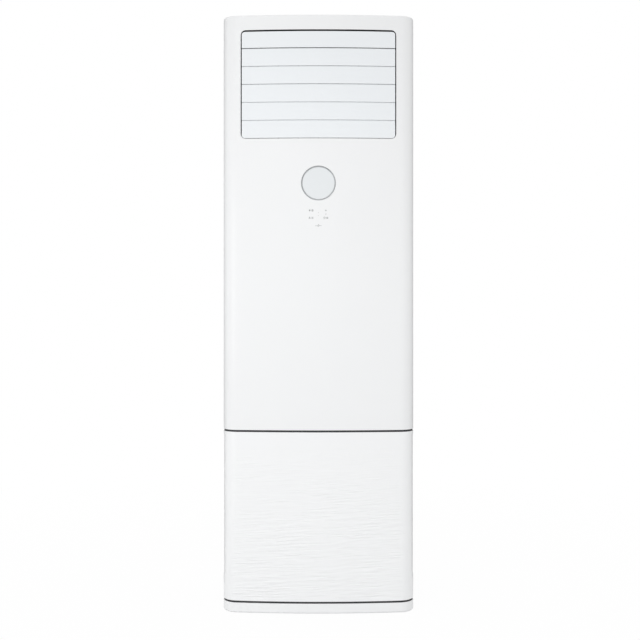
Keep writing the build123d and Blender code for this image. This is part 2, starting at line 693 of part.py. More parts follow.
with BuildPart() as fan_scroll:
    with BuildSketch(Plane.XZ.offset(-BULKHEAD_BACK_Y)):
        add(scroll_wall.sketch_local)
        add(scroll_space.sketch_local, mode=Mode.SUBTRACT)
    extrude(amount=-(SCROLL_BACK_Y - BULKHEAD_BACK_Y))
    with BuildSketch(Plane.XZ.offset(-SCROLL_BACK_Y)):
        add(scroll_wall.sketch_local)
        with Locations((WHEEL_X, WHEEL_Z)):
            Circle(MOTOR_HOLE, mode=Mode.SUBTRACT)
    extrude(amount=-PAN_SHEET)
keep(fan_scroll, "fan_scroll")

blade_turn = degrees(BLADE_THICKNESS / WHEEL_RADIUS)
BLADE_MIDDLE = BLADE_ROOT + BLADE_CHORD / 2
BLADE_CURL = BLADE_LEAD / 7
with BuildSketch() as blade_section:
    with BuildLine():
        Polyline(
            wheel_point(BLADE_ROOT, 0),
            wheel_point(BLADE_MIDDLE, BLADE_CURL),
            wheel_point(BLADE_TOP, BLADE_LEAD),
            wheel_point(BLADE_TOP, BLADE_LEAD + blade_turn),
            wheel_point(BLADE_MIDDLE, BLADE_CURL + blade_turn),
            wheel_point(BLADE_ROOT, blade_turn),
            close=True,
        )
    make_face()

with BuildPart() as blower_wheel:
    hub_face = WHEEL_BACK_Y - HUB_SETBACK
    with BuildSketch(Plane.XY.offset(WHEEL_Z)):
        with Locations((WHEEL_X, 0)):
            with BuildLine():
                Polyline(
                    (WHEEL_X + SHAFT_RADIUS + RUN_GAP, hub_face),
                    (WHEEL_X + HUB_RADIUS, hub_face),
                    (WHEEL_X + HUB_RADIUS, hub_face + HUB_LENGTH / 2),
                    (WHEEL_X + CONE_RADIUS, WHEEL_BACK_Y - WHEEL_DISC),
                    (WHEEL_X + WHEEL_RADIUS, WHEEL_BACK_Y - WHEEL_DISC),
                    (WHEEL_X + WHEEL_RADIUS, WHEEL_BACK_Y),
                    (WHEEL_X + CONE_RADIUS - CONE_STEP, WHEEL_BACK_Y),
                    (WHEEL_X + HUB_RADIUS, hub_face + HUB_LENGTH / 2 + WHEEL_DISC),
                    (WHEEL_X + HUB_RADIUS, hub_face + HUB_LENGTH),
                    (WHEEL_X + SHAFT_RADIUS + RUN_GAP, hub_face + HUB_LENGTH),
                    close=True,
                )
        make_face()
    revolve(axis=WHEEL_AXIS)
    with BuildSketch(Plane.XZ.offset(-WHEEL_FRONT_Y)):
        with Locations((WHEEL_X, WHEEL_Z)):
            with PolarLocations(0, BLADE_COUNT):
                add(blade_section.sketch_local)
    extrude(amount=-(WHEEL_WIDTH - WHEEL_DISC / 2))
    with BuildSketch(Plane.XZ.offset(-WHEEL_FRONT_Y)):
        with Locations((WHEEL_X, WHEEL_Z)):
            Circle(WHEEL_RADIUS)
            Circle(WHEEL_RADIUS - BLADE_CHORD / 3, mode=Mode.SUBTRACT)
    extrude(amount=-WHEEL_RING)
keep(blower_wheel, "blower_wheel")

with BuildPart() as motor_shaft:
    with BuildSketch(Plane.XZ.offset(-(hub_face - SHAFT_NOSE))):
        with Locations((WHEEL_X, WHEEL_Z)):
            Circle(SHAFT_RADIUS)
    extrude(amount=-(MOTOR_FRONT_Y + MOTOR_LENGTH / 2 - hub_face + SHAFT_NOSE))
    with BuildSketch(Plane.XZ.offset(-hub_face)):
        with Locations((WHEEL_X, WHEEL_Z)):
            RegularPolygon(SHAFT_NUT_RADIUS, 6)
    extrude(amount=SHAFT_NOSE - JOIN_GAP)
keep(motor_shaft, "motor_shaft")

with BuildPart() as motor_bracket:
    with BuildSketch(Plane.XZ.offset(-(SCROLL_BACK_Y + PAN_SHEET))):
        with Locations((WHEEL_X, WHEEL_Z)):
            Circle(MOTOR_RADIUS - MOTOR_EDGE / 2)
            for arm in (45, 135):
                SlotOverall(MOTOR_ARM, MOTOR_HOLE, rotation=arm)
            Circle(MOTOR_HOLE, mode=Mode.SUBTRACT)
    extrude(amount=-MOTOR_PLATE)
keep(motor_bracket, "motor_bracket")

with BuildPart() as fan_motor:
    with BuildSketch(Plane.XZ.offset(-MOTOR_FRONT_Y)):
        with Locations((WHEEL_X, WHEEL_Z)):
            Circle(MOTOR_RADIUS)
    extrude(amount=-MOTOR_LENGTH)
    chamfer(fan_motor.faces().sort_by(Axis.Y)[-1].edges(), length=MOTOR_EDGE)
    with BuildSketch(Plane.XZ.offset(-MOTOR_FRONT_Y)):
        with Locations((WHEEL_X, WHEEL_Z)):
            Circle(SHAFT_RADIUS + RUN_GAP)
    extrude(amount=-(MOTOR_LENGTH / 2 + MOTOR_EDGE / 5), mode=Mode.SUBTRACT)
keep(fan_motor, "fan_motor")

# ---------------------------------------------------------------- chamber over the blower
UNION_Y = BACK_PLATE_Y - UNION_SPACE
GAS_LANE = (HALF - GAS_LANE_SIDE, UNION_Y - GAS_LANE_SPACE)
LIQUID_LANE = (HALF - LIQUID_LANE_SIDE, UNION_Y - LIQUID_LANE_SPACE)
HOSE_LANE = (HALF - HOSE_LANE_SIDE, BULKHEAD_BACK_Y + HOSE_LANE_SETBACK)

with BuildPart() as partition_plate:
    with BuildSketch(Plane.XY.offset(PARTITION_Z)):
        plan_outline(FRONT_INSET, WRAP_Y)
        with Locations((0, (WRAP_Y + INNER_BACK_Y) / 2)):
            Rectangle(2 * INNER_X, INNER_BACK_Y - WRAP_Y)
        with Locations(((TONGUE_X + SCROLL_RIGHT_X) / 2, (BULKHEAD_BACK_Y + SCROLL_BACK_Y) / 2)):
            Rectangle(SCROLL_RIGHT_X - TONGUE_X, SCROLL_BACK_Y - BULKHEAD_BACK_Y, mode=Mode.SUBTRACT)
        lanes = ((GAS_LANE, GAS_RADIUS), (LIQUID_LANE, LIQUID_RADIUS), (HOSE_LANE, HOSE_RADIUS))
        for lane, radius in lanes:
            with Locations(lane):
                Circle(radius + LANE_GAP, mode=Mode.SUBTRACT)
    extrude(amount=PAN_SHEET)
keep(partition_plate, "partition_plate")

CONTROL_BOTTOM = PARTITION_Z + PAN_SHEET
CONTROL_FRONT_Y = FRONT_Y + CONTROL_SETBACK
CONTROL_BACK_Y = CONTROL_FRONT_Y + CONTROL_DEPTH
CONTROL_TOP = CONTROL_BOTTOM + CONTROL_HEIGHT

with BuildPart() as control_box:
    block(
        (-CONTROL_WIDTH / 2, CONTROL_WIDTH / 2),
        (CONTROL_FRONT_Y, CONTROL_BACK_Y),
        (CONTROL_BOTTOM, CONTROL_TOP),
    )
    offset(amount=-PAN_SHEET, openings=control_box.faces().sort_by(Axis.Y)[0])
keep(control_box, "control_box")

with BuildPart() as control_box_cover:
    block(
        (-CONTROL_WIDTH / 2, CONTROL_WIDTH / 2),
        (CONTROL_FRONT_Y - PAN_SHEET, CONTROL_FRONT_Y),
        (CONTROL_BOTTOM, CONTROL_TOP),
    )
keep(control_box_cover, "control_box_cover")

BOARD_BACK_Y = CONTROL_BACK_Y - PAN_SHEET
BOARD_MARGIN = 12
BOARD_WIDTH = CONTROL_WIDTH - TERMINAL_DEPTH - 4 * BOARD_MARGIN
BOARD_HEIGHT = CONTROL_HEIGHT - 2 * BOARD_MARGIN
BOARD_X = CONTROL_WIDTH / 2 - BOARD_MARGIN - BOARD_WIDTH / 2
BOARD_Z = (CONTROL_BOTTOM + CONTROL_TOP) / 2
with BuildPart() as main_board:
    with BuildSketch(Plane.XZ.offset(-(BOARD_BACK_Y - BOARD_STANDOFF))):
        with Locations((BOARD_X, BOARD_Z)):
            Rectangle(BOARD_WIDTH, BOARD_HEIGHT)
    extrude(amount=BOARD_THICKNESS)
    with BuildSketch(Plane.XZ.offset(-BOARD_BACK_Y)):
        with Locations((BOARD_X, BOARD_Z)):
            with GridLocations(BOARD_WIDTH - BOARD_MARGIN, BOARD_HEIGHT - BOARD_MARGIN, 2, 2):
                RegularPolygon(BOARD_MARGIN / 4, 6)
    extrude(amount=BOARD_STANDOFF)
    with BuildSketch(Plane.XZ.offset(-(BOARD_BACK_Y - BOARD_STANDOFF - BOARD_THICKNESS))):
        with Locations((BOARD_X - BOARD_WIDTH / 3, BOARD_Z)):
            with GridLocations(1, BOARD_HEIGHT / 3, 1, 2):
                Circle(BOARD_MARGIN)
        with Locations((BOARD_X + BOARD_WIDTH / 4, BOARD_Z + BOARD_HEIGHT / 5)):
            Rectangle(BOARD_WIDTH / 3, BOARD_HEIGHT / 3)
        with Locations((BOARD_X + BOARD_WIDTH / 6, BOARD_Z - BOARD_HEIGHT / 4)):
            with GridLocations(2.5 * BOARD_MARGIN, 1, 3, 1):
                Rectangle(1.5 * BOARD_MARGIN, 2 * BOARD_MARGIN)
    extrude(amount=BOARD_PARTS)
keep(main_board, "main_board")

TERMINAL_X = BOARD_MARGIN - CONTROL_WIDTH / 2 + TERMINAL_DEPTH / 2
with BuildPart() as terminal_block:
    with BuildSketch(Plane.XZ.offset(-BOARD_BACK_Y)):
        with Locations((TERMINAL_X, BOARD_Z)):
            Rectangle(TERMINAL_DEPTH, TERMINAL_PITCH * TERMINAL_COUNT)
    extrude(amount=TERMINAL_DEPTH)
    with BuildSketch(Plane.XZ.offset(-(BOARD_BACK_Y - TERMINAL_DEPTH / 2))):
        with Locations((TERMINAL_X - TERMINAL_DEPTH / 4, BOARD_Z)):
            with GridLocations(1, TERMINAL_PITCH, 1, TERMINAL_COUNT):
                Rectangle(TERMINAL_DEPTH, TERMINAL_PITCH * 0.7)
    extrude(amount=TERMINAL_DEPTH, mode=Mode.SUBTRACT)
keep(terminal_block, "terminal_block")

BAFFLE_Y = CONTROL_BACK_Y + JOIN_GAP
with BuildPart() as air_baffle:
    block((-INNER_X, INNER_X), (BAFFLE_Y, BAFFLE_Y + PAN_SHEET), (CONTROL_BOTTOM, DRAIN_PAN_Z))
keep(air_baffle, "air_baffle")

DRAIN_FRONT_Y = BAFFLE_Y - DRAIN_PAN_LAP
DRAIN_BACK_Y = DRAIN_FRONT_Y + DRAIN_PAN_DEPTH
DRAIN_FLOOR = DRAIN_PAN_Z + DRAIN_PAN_WALL
with BuildPart() as drain_pan:
    block(
        (-INNER_X, INNER_X),
        (DRAIN_FRONT_Y, DRAIN_BACK_Y),
        (DRAIN_PAN_Z, DRAIN_PAN_Z + DRAIN_PAN_HEIGHT),
    )
    offset(amount=-DRAIN_PAN_WALL, openings=drain_pan.faces().sort_by(Axis.Z)[-1])
keep(drain_pan, "drain_pan")

# the coil leans back from the drain pan to the back plate; its plane runs along X and up the slope
COIL_WIDTH = WIDTH - 2 * COIL_SIDE
COIL_Y = FRONT_Y + COIL_FRONT
COIL_DEPTH = BACK_PLATE_Y - COIL_BACK - COIL_Y
LEAN = asin(COIL_DEPTH / sqrt(COIL_LENGTH**2 + COIL_THICKNESS**2)) - atan2(COIL_THICKNESS, COIL_LENGTH)
COIL_Z = DRAIN_FLOOR + SEAT_GAP + COIL_THICKNESS * sin(LEAN)
coil_plane = Plane(origin=(0, COIL_Y, COIL_Z), x_dir=(1, 0, 0), z_dir=(0, -cos(LEAN), sin(LEAN)))
FIN_COUNT = int(COIL_WIDTH / FIN_PITCH)


def coil_place(along, behind):
    """Y and Z of a point this far up the coil's front face and behind it."""
    height = COIL_Z + along * cos(LEAN) - behind * sin(LEAN)
    return (COIL_Y + along * sin(LEAN) + behind * cos(LEAN), height)


with BuildPart() as evaporator_fins:
    with BuildSketch(coil_plane):
        with Locations((0, COIL_LENGTH / 2)):
            Rectangle(COIL_WIDTH, COIL_LENGTH)
    extrude(amount=-COIL_THICKNESS)
    with BuildSketch(coil_plane):
        with Locations((0, COIL_LENGTH / 2)):
            with GridLocations(FIN_PITCH, 1, FIN_COUNT, 1):
                Rectangle(FIN_SLOT, COIL_LENGTH)
    extrude(amount=-FIN_DEPTH, mode=Mode.SUBTRACT)
keep(evaporator_fins, "evaporator_fins")

with BuildPart() as evaporator_end_plates:
    for side in (-1, 1):
        with BuildSketch(coil_plane.offset(COIL_LIP)):
            with Locations((side * (COIL_WIDTH / 2 + PAN_SHEET / 2), COIL_LENGTH / 2 + COIL_LIP)):
                Rectangle(PAN_SHEET, COIL_LENGTH)
        extrude(amount=-COIL_THICKNESS - COIL_LIP)
        with BuildSketch(coil_plane):
            with Locations((side * (COIL_WIDTH / 2 + INNER_X) / 2, COIL_LENGTH - COIL_TAB / 2)):
                Rectangle(INNER_X - COIL_WIDTH / 2, COIL_TAB)
        extrude(amount=-PAN_SHEET)
keep(evaporator_end_plates, "evaporator_end_plates")

TUBE_X = COIL_WIDTH / 2 + PAN_SHEET
tube_plane = coil_plane.offset(-COIL_THICKNESS / 2)
tube_end = Plane(tube_plane.from_local_coords((TUBE_X, 0, 0)), x_dir=tube_plane.y_dir, z_dir=(1, 0, 0))
with BuildPart() as evaporator_tubes:
    for bend in range(TUBE_COUNT):
        low = TUBE_START + TUBE_PITCH * bend
        with BuildSketch(tube_end):
            with Locations((low, 0), (low + 2 * TUBE_BEND, 0)):
                RegularPolygon(TUBE_RADIUS, TUBE_SIDES)
        extrude(amount=TUBE_STUB)
        with BuildSketch(tube_end.offset(TUBE_STUB)):
            with Locations((low, 0)):
                RegularPolygon(TUBE_RADIUS, TUBE_SIDES)
        turn_centre = tube_plane.from_local_coords((TUBE_X + TUBE_STUB, low + TUBE_BEND, 0))
        revolve(axis=Axis(turn_centre, tube_plane.z_dir), revolution_arc=180)
keep(evaporator_tubes, "evaporator_tubes")


def pipe_run(points, radius):
    """A bent pipe along straight runs with rounded corners."""
    with BuildPart() as pipe:
        with BuildLine() as route:
            FilletPolyline(*points, radius=PIPE_BEND * radius)
        with BuildSketch(Plane(route.line @ 0, z_dir=route.line % 0)) as ring:
            RegularPolygon(radius, TUBE_SIDES)
        sweep(ring.sketch, path=route.line)
    return pipe.part


GAS_END = (PIPE_X + GAS_SHIFT, PIPE_Z + GAS_RISE)
LIQUID_END = (PIPE_X + LIQUID_SHIFT, PIPE_Z)
HOSE_END = (PIPE_X - HOSE_SHIFT, PIPE_Z - HOSE_DROP)
GAS_TURN_Y = UNION_Y - GAS_TURN_SPACE
LIQUID_TURN_Y = UNION_Y - LIQUID_TURN_SPACE
HOSE_TURN_Y = UNION_Y - HOSE_TURN_SPACE
HOSE_START_Z = DRAIN_FLOOR + HOSE_RADIUS
gas_y, gas_z = coil_place(GAS_START, COIL_THICKNESS / 2)
liquid_y, liquid_z = coil_place(LIQUID_START, COIL_THICKNESS / 2)
gas_route = [
    (TUBE_X, gas_y, gas_z),
    (GAS_LANE[0], gas_y, gas_z),
    (GAS_LANE[0], GAS_LANE[1], gas_z),
    (GAS_LANE[0], GAS_LANE[1], GAS_END[1]),
    (GAS_LANE[0], GAS_TURN_Y, GAS_END[1]),
    (GAS_END[0], GAS_TURN_Y, GAS_END[1]),
    (GAS_END[0], UNION_Y, GAS_END[1]),
]
liquid_route = [
    (TUBE_X, liquid_y, liquid_z),
    (LIQUID_LANE[0], liquid_y, liquid_z),
    (LIQUID_LANE[0], LIQUID_LANE[1], liquid_z),
    (LIQUID_LANE[0], LIQUID_LANE[1], LIQUID_END[1]),
    (LIQUID_LANE[0], LIQUID_TURN_Y, LIQUID_END[1]),
    (LIQUID_END[0], LIQUID_TURN_Y, LIQUID_END[1]),
    (LIQUID_END[0], UNION_Y, LIQUID_END[1]),
]
hose_route = [
    (HOSE_LANE[0], DRAIN_BACK_Y, HOSE_START_Z),
    (HOSE_LANE[0], HOSE_LANE[1], HOSE_START_Z),
    (HOSE_LANE[0], HOSE_LANE[1], HOSE_END[1]),
    (HOSE_LANE[0], HOSE_TURN_Y, HOSE_END[1]),
    (HOSE_END[0], HOSE_TURN_Y, HOSE_END[1]),
    (HOSE_END[0], UNION_Y, HOSE_END[1]),
]

with BuildPart() as refrigerant_pipes:
    add(pipe_run(gas_route, GAS_RADIUS))
    add(pipe_run(liquid_route, LIQUID_RADIUS))
keep(refrigerant_pipes, "refrigerant_pipes")

with BuildPart() as drain_hose:
    add(pipe_run(hose_route, HOSE_RADIUS))
keep(drain_hose, "drain_hose")

with BuildPart() as flare_nuts:
    for end, radius in ((GAS_END, GAS_RADIUS), (LIQUID_END, LIQUID_RADIUS)):
        with BuildSketch(Plane.XZ.offset(NUT_LENGTH - NUT_OVERHANG - UNION_Y)):
            with Locations(end):
                RegularPolygon(NUT_SIZE * radius, 6)
                Circle(radius + RUN_GAP, mode=Mode.SUBTRACT)
        extrude(amount=-NUT_LENGTH)
keep(flare_nuts, "flare_nuts")

# ---------------------------------------------------------------- display and touch keys
DISPLAY_AXIS = Axis((0, 0, DISPLAY_Z), (0, 1, 0))
BEZEL_Y = FRONT_Y + DISPLAY_RECESS
LENS_Y = BEZEL_Y + LENS_RECESS
HOUSING_Y = FRONT_Y + PANEL_WALL + HOUSING_BOW
LENS_RADIUS = DISPLAY_RADIUS - BEZEL_WIDTH - SEAT_GAP
STEP_Y = BEZEL_Y + BEZEL_DEPTH
HOUSING_RADIUS = DISPLAY_RADIUS + HOUSING_FLANGE
HOUSING_OUTSIDE = DISPLAY_RADIUS + SEAT_GAP + 2 * HOUSING_WALL
HOUSING_INSIDE = DISPLAY_RADIUS - BEZEL_WIDTH - HOUSING_WALL
KEYS_TOP = DISPLAY_Z - HOUSING_RADIUS - KEYS_SPACE
KEYS_Y = FRONT_Y + PANEL_WALL + KEYS_BOW


def turned(points):
    """Revolve an outline given as radius and Y about the display's axis."""
    with BuildSketch(Plane.XY.offset(DISPLAY_Z)) as section:
        with BuildLine():
            Polyline(*points, close=True)
        make_face()
    revolve(section.sketch, axis=DISPLAY_AXIS)


with BuildPart() as display_bezel:
    turned([
        (DISPLAY_RADIUS - BEZEL_EDGE, BEZEL_Y),
        (DISPLAY_RADIUS, BEZEL_Y + BEZEL_EDGE),
        (DISPLAY_RADIUS, STEP_Y),
        (HOUSING_INSIDE, STEP_Y),
        (HOUSING_INSIDE, LENS_Y + LENS_THICKNESS),
        (DISPLAY_RADIUS - BEZEL_WIDTH, LENS_Y + LENS_THICKNESS),
        (DISPLAY_RADIUS - BEZEL_WIDTH, LENS_Y),
    ])
keep(display_bezel, "display_bezel")

with BuildPart() as display_lens:
    with BuildSketch(Plane.XZ.offset(-LENS_Y)):
        with Locations((0, DISPLAY_Z)):
            Circle(LENS_RADIUS)
    extrude(amount=-LENS_THICKNESS)
keep(display_lens, "display_lens")

with BuildPart() as display_housing:
    turned([
        (DISPLAY_RADIUS + SEAT_GAP, HOUSING_Y),
        (HOUSING_RADIUS, HOUSING_Y),
        (HOUSING_OUTSIDE, HOUSING_Y + 2 * HOUSING_WALL),
        (HOUSING_OUTSIDE, STEP_Y + HOUSING_DEPTH),
        (0, STEP_Y + HOUSING_DEPTH),
        (0, STEP_Y + HOUSING_DEPTH - HOUSING_WALL),
        (HOUSING_INSIDE, STEP_Y + HOUSING_DEPTH - HOUSING_WALL),
        (HOUSING_INSIDE, STEP_Y),
        (DISPLAY_RADIUS + SEAT_GAP, STEP_Y),
    ])
keep(display_housing, "display_housing")

with BuildPart() as display_board:
    with BuildSketch(Plane.XZ.offset(-(STEP_Y + HOUSING_DEPTH - HOUSING_WALL - SEAT_GAP))):
        with Locations((0, DISPLAY_Z)):
            Circle(HOUSING_INSIDE - SEAT_GAP)
    extrude(amount=BOARD_THICKNESS)
keep(display_board, "display_board")

with BuildPart() as touch_key_board:
    block(
        (-KEYS_WIDTH / 2, KEYS_WIDTH / 2),
        (KEYS_Y, KEYS_Y + BOARD_THICKNESS),
        (KEYS_TOP - KEYS_HEIGHT, KEYS_TOP),
    )
keep(touch_key_board, "touch_key_board")

# ---------------------------------------------------------------- outlet duct
with BuildPart() as outlet_duct:
    with BuildSketch(Plane.XY.offset(DUCT_FLOOR - DUCT_WALL)):
        plan_outline(FRONT_INSET, DUCT_BACK_Y)
        with Locations((0, 0)):
            Rectangle(2 * (DUCT_HALF + DUCT_WALL), DEPTH, mode=Mode.INTERSECT)
    extrude(amount=DUCT_TOP - DUCT_FLOOR + 2 * DUCT_WALL)
    block(
        (-INNER_X, INNER_X),
        (DUCT_BACK_Y - PAN_SHEET, DUCT_BACK_Y),
        (DUCT_FLOOR - DUCT_SKIRT, SIDE_TOP - SHEET - SEAT_GAP),
    )
    block((-DUCT_HALF, DUCT_HALF), (FRONT_Y, DUCT_BACK_Y), (DUCT_FLOOR, DUCT_TOP), mode=Mode.SUBTRACT)
    for number in range(1, LOUVRE_COUNT + 1):
        with BuildSketch(Plane.YZ.offset(-HALF)):
            with Locations((LOUVRE_AXIS_Y, louvre_z(number))):
                Circle(PIVOT_RADIUS + RUN_GAP)
            with Locations(((FRONT_Y + LOUVRE_AXIS_Y) / 2, louvre_z(number))):
                Rectangle(LOUVRE_AXIS_SETBACK, 2 * (PIVOT_RADIUS + RUN_GAP))
        extrude(amount=WIDTH, mode=Mode.SUBTRACT)
    with BuildSketch(Plane.XY.offset(DUCT_FLOOR - DUCT_WALL)):
        with Locations([(vane_x(number), VANE_Y) for number in range(1, VANE_COUNT + 1)]):
            Circle(PIVOT_RADIUS + RUN_GAP)
    extrude(amount=DUCT_TOP - DUCT_FLOOR + 2 * DUCT_WALL, mode=Mode.SUBTRACT)
keep(outlet_duct, "outlet_duct")

# ---------------------------------------------------------------- louvres
LOUVRE_ANGLE = atan2(LOUVRE_END_X, sqrt(LOUVRE_FACE_RADIUS**2 - LOUVRE_END_X**2))
LAP_DEPTH = LOUVRE_THICKNESS - LAP_THICKNESS
LAP_HEIGHT = LOUVRE_GAP - LAP_GAP
CRANK_X = DUCT_HALF + DUCT_WALL + JOIN_GAP
LINK_X = CRANK_X + CRANK_THICKNESS + SEAT_GAP
crank_offset = (CRANK_LENGTH * cos(radians(CRANK_ANGLE)), CRANK_LENGTH * sin(radians(CRANK_ANGLE)))
louvre_plane = Plane(
    origin=(0, BOW_CENTRE_Y, 0),
    x_dir=(-sin(LOUVRE_ANGLE), -cos(LOUVRE_ANGLE), 0),
    z_dir=(-cos(LOUVRE_ANGLE), sin(LOUVRE_ANGLE), 0),
)


def make_louvre(number):
    """A bowed blade with an ear, a pivot pin and a crank at its ends."""
    middle = louvre_z(number)
    half = LOUVRE_HEIGHT / 2
    face = LOUVRE_FACE_RADIUS
    back = face - LOUVRE_THICKNESS
    socket = MOTOR_SOCKET if number == 1 else 0
    with BuildPart() as louvre:
        with BuildSketch(louvre_plane) as section:
            with BuildLine():
                Polyline(
                    (face, middle - half),
                    (face, middle + half),
                    (face - LAP_DEPTH, middle + half),
                    (face - LAP_DEPTH, middle + half + LAP_HEIGHT),
                    (back, middle + half + LAP_HEIGHT),
                    (back, middle + LOUVRE_SWEEP),
                    (back - LOUVRE_SPINE, middle + LOUVRE_SWEEP / 2),
                    (back - LOUVRE_SPINE, middle - LOUVRE_SWEEP / 2),
                    (back, middle - LOUVRE_SWEEP),
                    (back, middle - half),
                    close=True,
                )
            make_face()
        revolve(axis=Axis((0, BOW_CENTRE_Y, 0), (0, 0, 1)), revolution_arc=2 * degrees(LOUVRE_ANGLE))
        if number in (1, LOUVRE_COUNT):
            toward_end = 1 if number == 1 else -1
            with BuildSketch(Plane.XZ.offset(-DUCT_BACK_Y)):
                with Locations((0, middle - toward_end * half)):
                    RectangleRounded(2 * (LOUVRE_END_X + JOIN_GAP), 4 * half, OUTLET_CORNER - LOUVRE_END_GAP)
            extrude(amount=DEPTH, mode=Mode.INTERSECT)
        end_face_y = BOW_CENTRE_Y - sqrt(face**2 - LOUVRE_END_X**2)
        for side in (-1, 1):
            with BuildSketch(Plane.YZ.offset(side * (LOUVRE_END_X - EAR_THICKNESS / 2))) as ear:
                with BuildLine():
                    Polyline(
                        (end_face_y + EAR_SINK, middle - half / 2),
                        (LOUVRE_AXIS_Y, middle - 2 * PIVOT_RADIUS),
                        (LOUVRE_AXIS_Y + 2 * PIVOT_RADIUS, middle - PIVOT_RADIUS),
                        (LOUVRE_AXIS_Y + 2 * PIVOT_RADIUS, middle + PIVOT_RADIUS),
                        (LOUVRE_AXIS_Y, middle + 2 * PIVOT_RADIUS),
                        (end_face_y + EAR_SINK, middle + half / 2),
                        close=True,
                    )
                make_face()
            extrude(amount=EAR_THICKNESS / 2, both=True)
        with BuildSketch(Plane.YZ.offset(LOUVRE_END_X)):
            with Locations((LOUVRE_AXIS_Y, middle)):
                Circle(PIVOT_RADIUS)
        extrude(amount=CRANK_X - LOUVRE_END_X)
        with BuildSketch(Plane.YZ.offset(-LOUVRE_END_X)):
            with Locations((LOUVRE_AXIS_Y, middle)):
                Circle(PIVOT_RADIUS)
        extrude(amount=-(DUCT_HALF + DUCT_WALL - LOUVRE_END_X + socket))
        with BuildSketch(Plane.YZ.offset(CRANK_X)):
            with Locations((LOUVRE_AXIS_Y + crank_offset[0] / 2, middle + crank_offset[1] / 2)):
                SlotOverall(CRANK_LENGTH + CRANK_WIDTH, CRANK_WIDTH, rotation=CRANK_ANGLE)
        extrude(amount=CRANK_THICKNESS)
        with BuildSketch(Plane.YZ.offset(CRANK_X + CRANK_THICKNESS)):
            with Locations((LOUVRE_AXIS_Y + crank_offset[0], middle + crank_offset[1])):
                Circle(CRANK_PIN_RADIUS)
        extrude(amount=LINK_THICKNESS + 2 * SEAT_GAP)
    return louvre


for number in range(1, LOUVRE_COUNT + 1):
    keep(make_louvre(number), f"louvre_{number}")

with BuildPart() as louvre_link:
    pin_y = LOUVRE_AXIS_Y + crank_offset[0]
    with BuildSketch(Plane.YZ.offset(LINK_X)):
        with Locations((pin_y, LOUVRE_MIDDLE_Z + crank_offset[1])):
            SlotOverall(LOUVRE_PITCH * (LOUVRE_COUNT - 1) + LINK_WIDTH, LINK_WIDTH, rotation=90)
        with Locations([(pin_y, louvre_z(n) + crank_offset[1]) for n in range(1, LOUVRE_COUNT + 1)]):
            Circle(CRANK_PIN_RADIUS + RUN_GAP, mode=Mode.SUBTRACT)
    extrude(amount=LINK_THICKNESS)
keep(louvre_link, "louvre_link")

with BuildPart() as louvre_motor:
    wall_x = -(DUCT_HALF + DUCT_WALL)
    block(
        (wall_x - GEAR_BOX, wall_x),
        (LOUVRE_AXIS_Y - PIVOT_RADIUS, LOUVRE_AXIS_Y + GEAR_BOX_WIDTH),
        (louvre_z(1) - GEAR_BOX_WIDTH / 2, louvre_z(1) + GEAR_BOX_WIDTH / 2),
    )
    with BuildSketch(Plane.YZ.offset(wall_x - GEAR_BOX)):
        with Locations((LOUVRE_AXIS_Y + STEP_MOTOR_SHIFT, louvre_z(1))):
            Circle(STEP_MOTOR_RADIUS)
    extrude(amount=-STEP_MOTOR_LENGTH)
    with BuildSketch(Plane.YZ.offset(wall_x)):
        with Locations((LOUVRE_AXIS_Y, louvre_z(1))):
            Circle(PIVOT_RADIUS + RUN_GAP)
    extrude(amount=-(MOTOR_SOCKET + SEAT_GAP), mode=Mode.SUBTRACT)
keep(louvre_motor, "louvre_motor")

# ---------------------------------------------------------------- vanes

def make_vane(number):
    """An upright plate with pivots at both ends and a crank pin in its rear notch."""
    place = vane_x(number)
    socket = MOTOR_SOCKET if number == 1 else 0
    with BuildPart() as vane:
        block(
            (place - VANE_THICKNESS / 2, place + VANE_THICKNESS / 2),
            (VANE_Y - VANE_LEAD, VANE_Y + VANE_TRAIL),
            (DUCT_FLOOR + JOIN_GAP, DUCT_TOP - JOIN_GAP),
        )
        block(
            (place - VANE_THICKNESS, place + VANE_THICKNESS),
            (VANE_Y + VANE_CRANK - VANE_NOTCH, VANE_Y + VANE_TRAIL + 1),
            (LINK_Z - NOTCH_HEIGHT / 2, LINK_Z + NOTCH_HEIGHT / 2),
            mode=Mode.SUBTRACT,
        )
        with BuildSketch(Plane.XY.offset(LINK_Z - NOTCH_HEIGHT / 2)):
            with Locations((place, VANE_Y + VANE_CRANK)):
                Circle(CRANK_PIN_RADIUS)
        extrude(amount=NOTCH_HEIGHT)
        with BuildSketch(Plane.XY.offset(DUCT_TOP - JOIN_GAP)):
            with Locations((place, VANE_Y)):
                Circle(PIVOT_RADIUS)
        extrude(amount=DUCT_WALL + JOIN_GAP)
        with BuildSketch(Plane.XY.offset(DUCT_FLOOR + JOIN_GAP)):
            with Locations((place, VANE_Y)):
                Circle(PIVOT_RADIUS)
        extrude(amount=-(DUCT_WALL + JOIN_GAP + socket))
    return vane


for number in range(1, VANE_COUNT + 1):
    keep(make_vane(number), f"vane_{number}")

with BuildPart() as vane_link:
    with BuildSketch(Plane.XY.offset(LINK_Z - LINK_THICKNESS / 2)):
        with Locations((0, VANE_Y + VANE_CRANK)):
            SlotOverall(VANE_PITCH * (VANE_COUNT - 1) + LINK_WIDTH, LINK_WIDTH)
        with Locations([(vane_x(n), VANE_Y + VANE_CRANK) for n in range(1, VANE_COUNT + 1)]):
            Circle(CRANK_PIN_RADIUS + RUN_GAP, mode=Mode.SUBTRACT)
    extrude(amount=LINK_THICKNESS)
keep(vane_link, "vane_link")

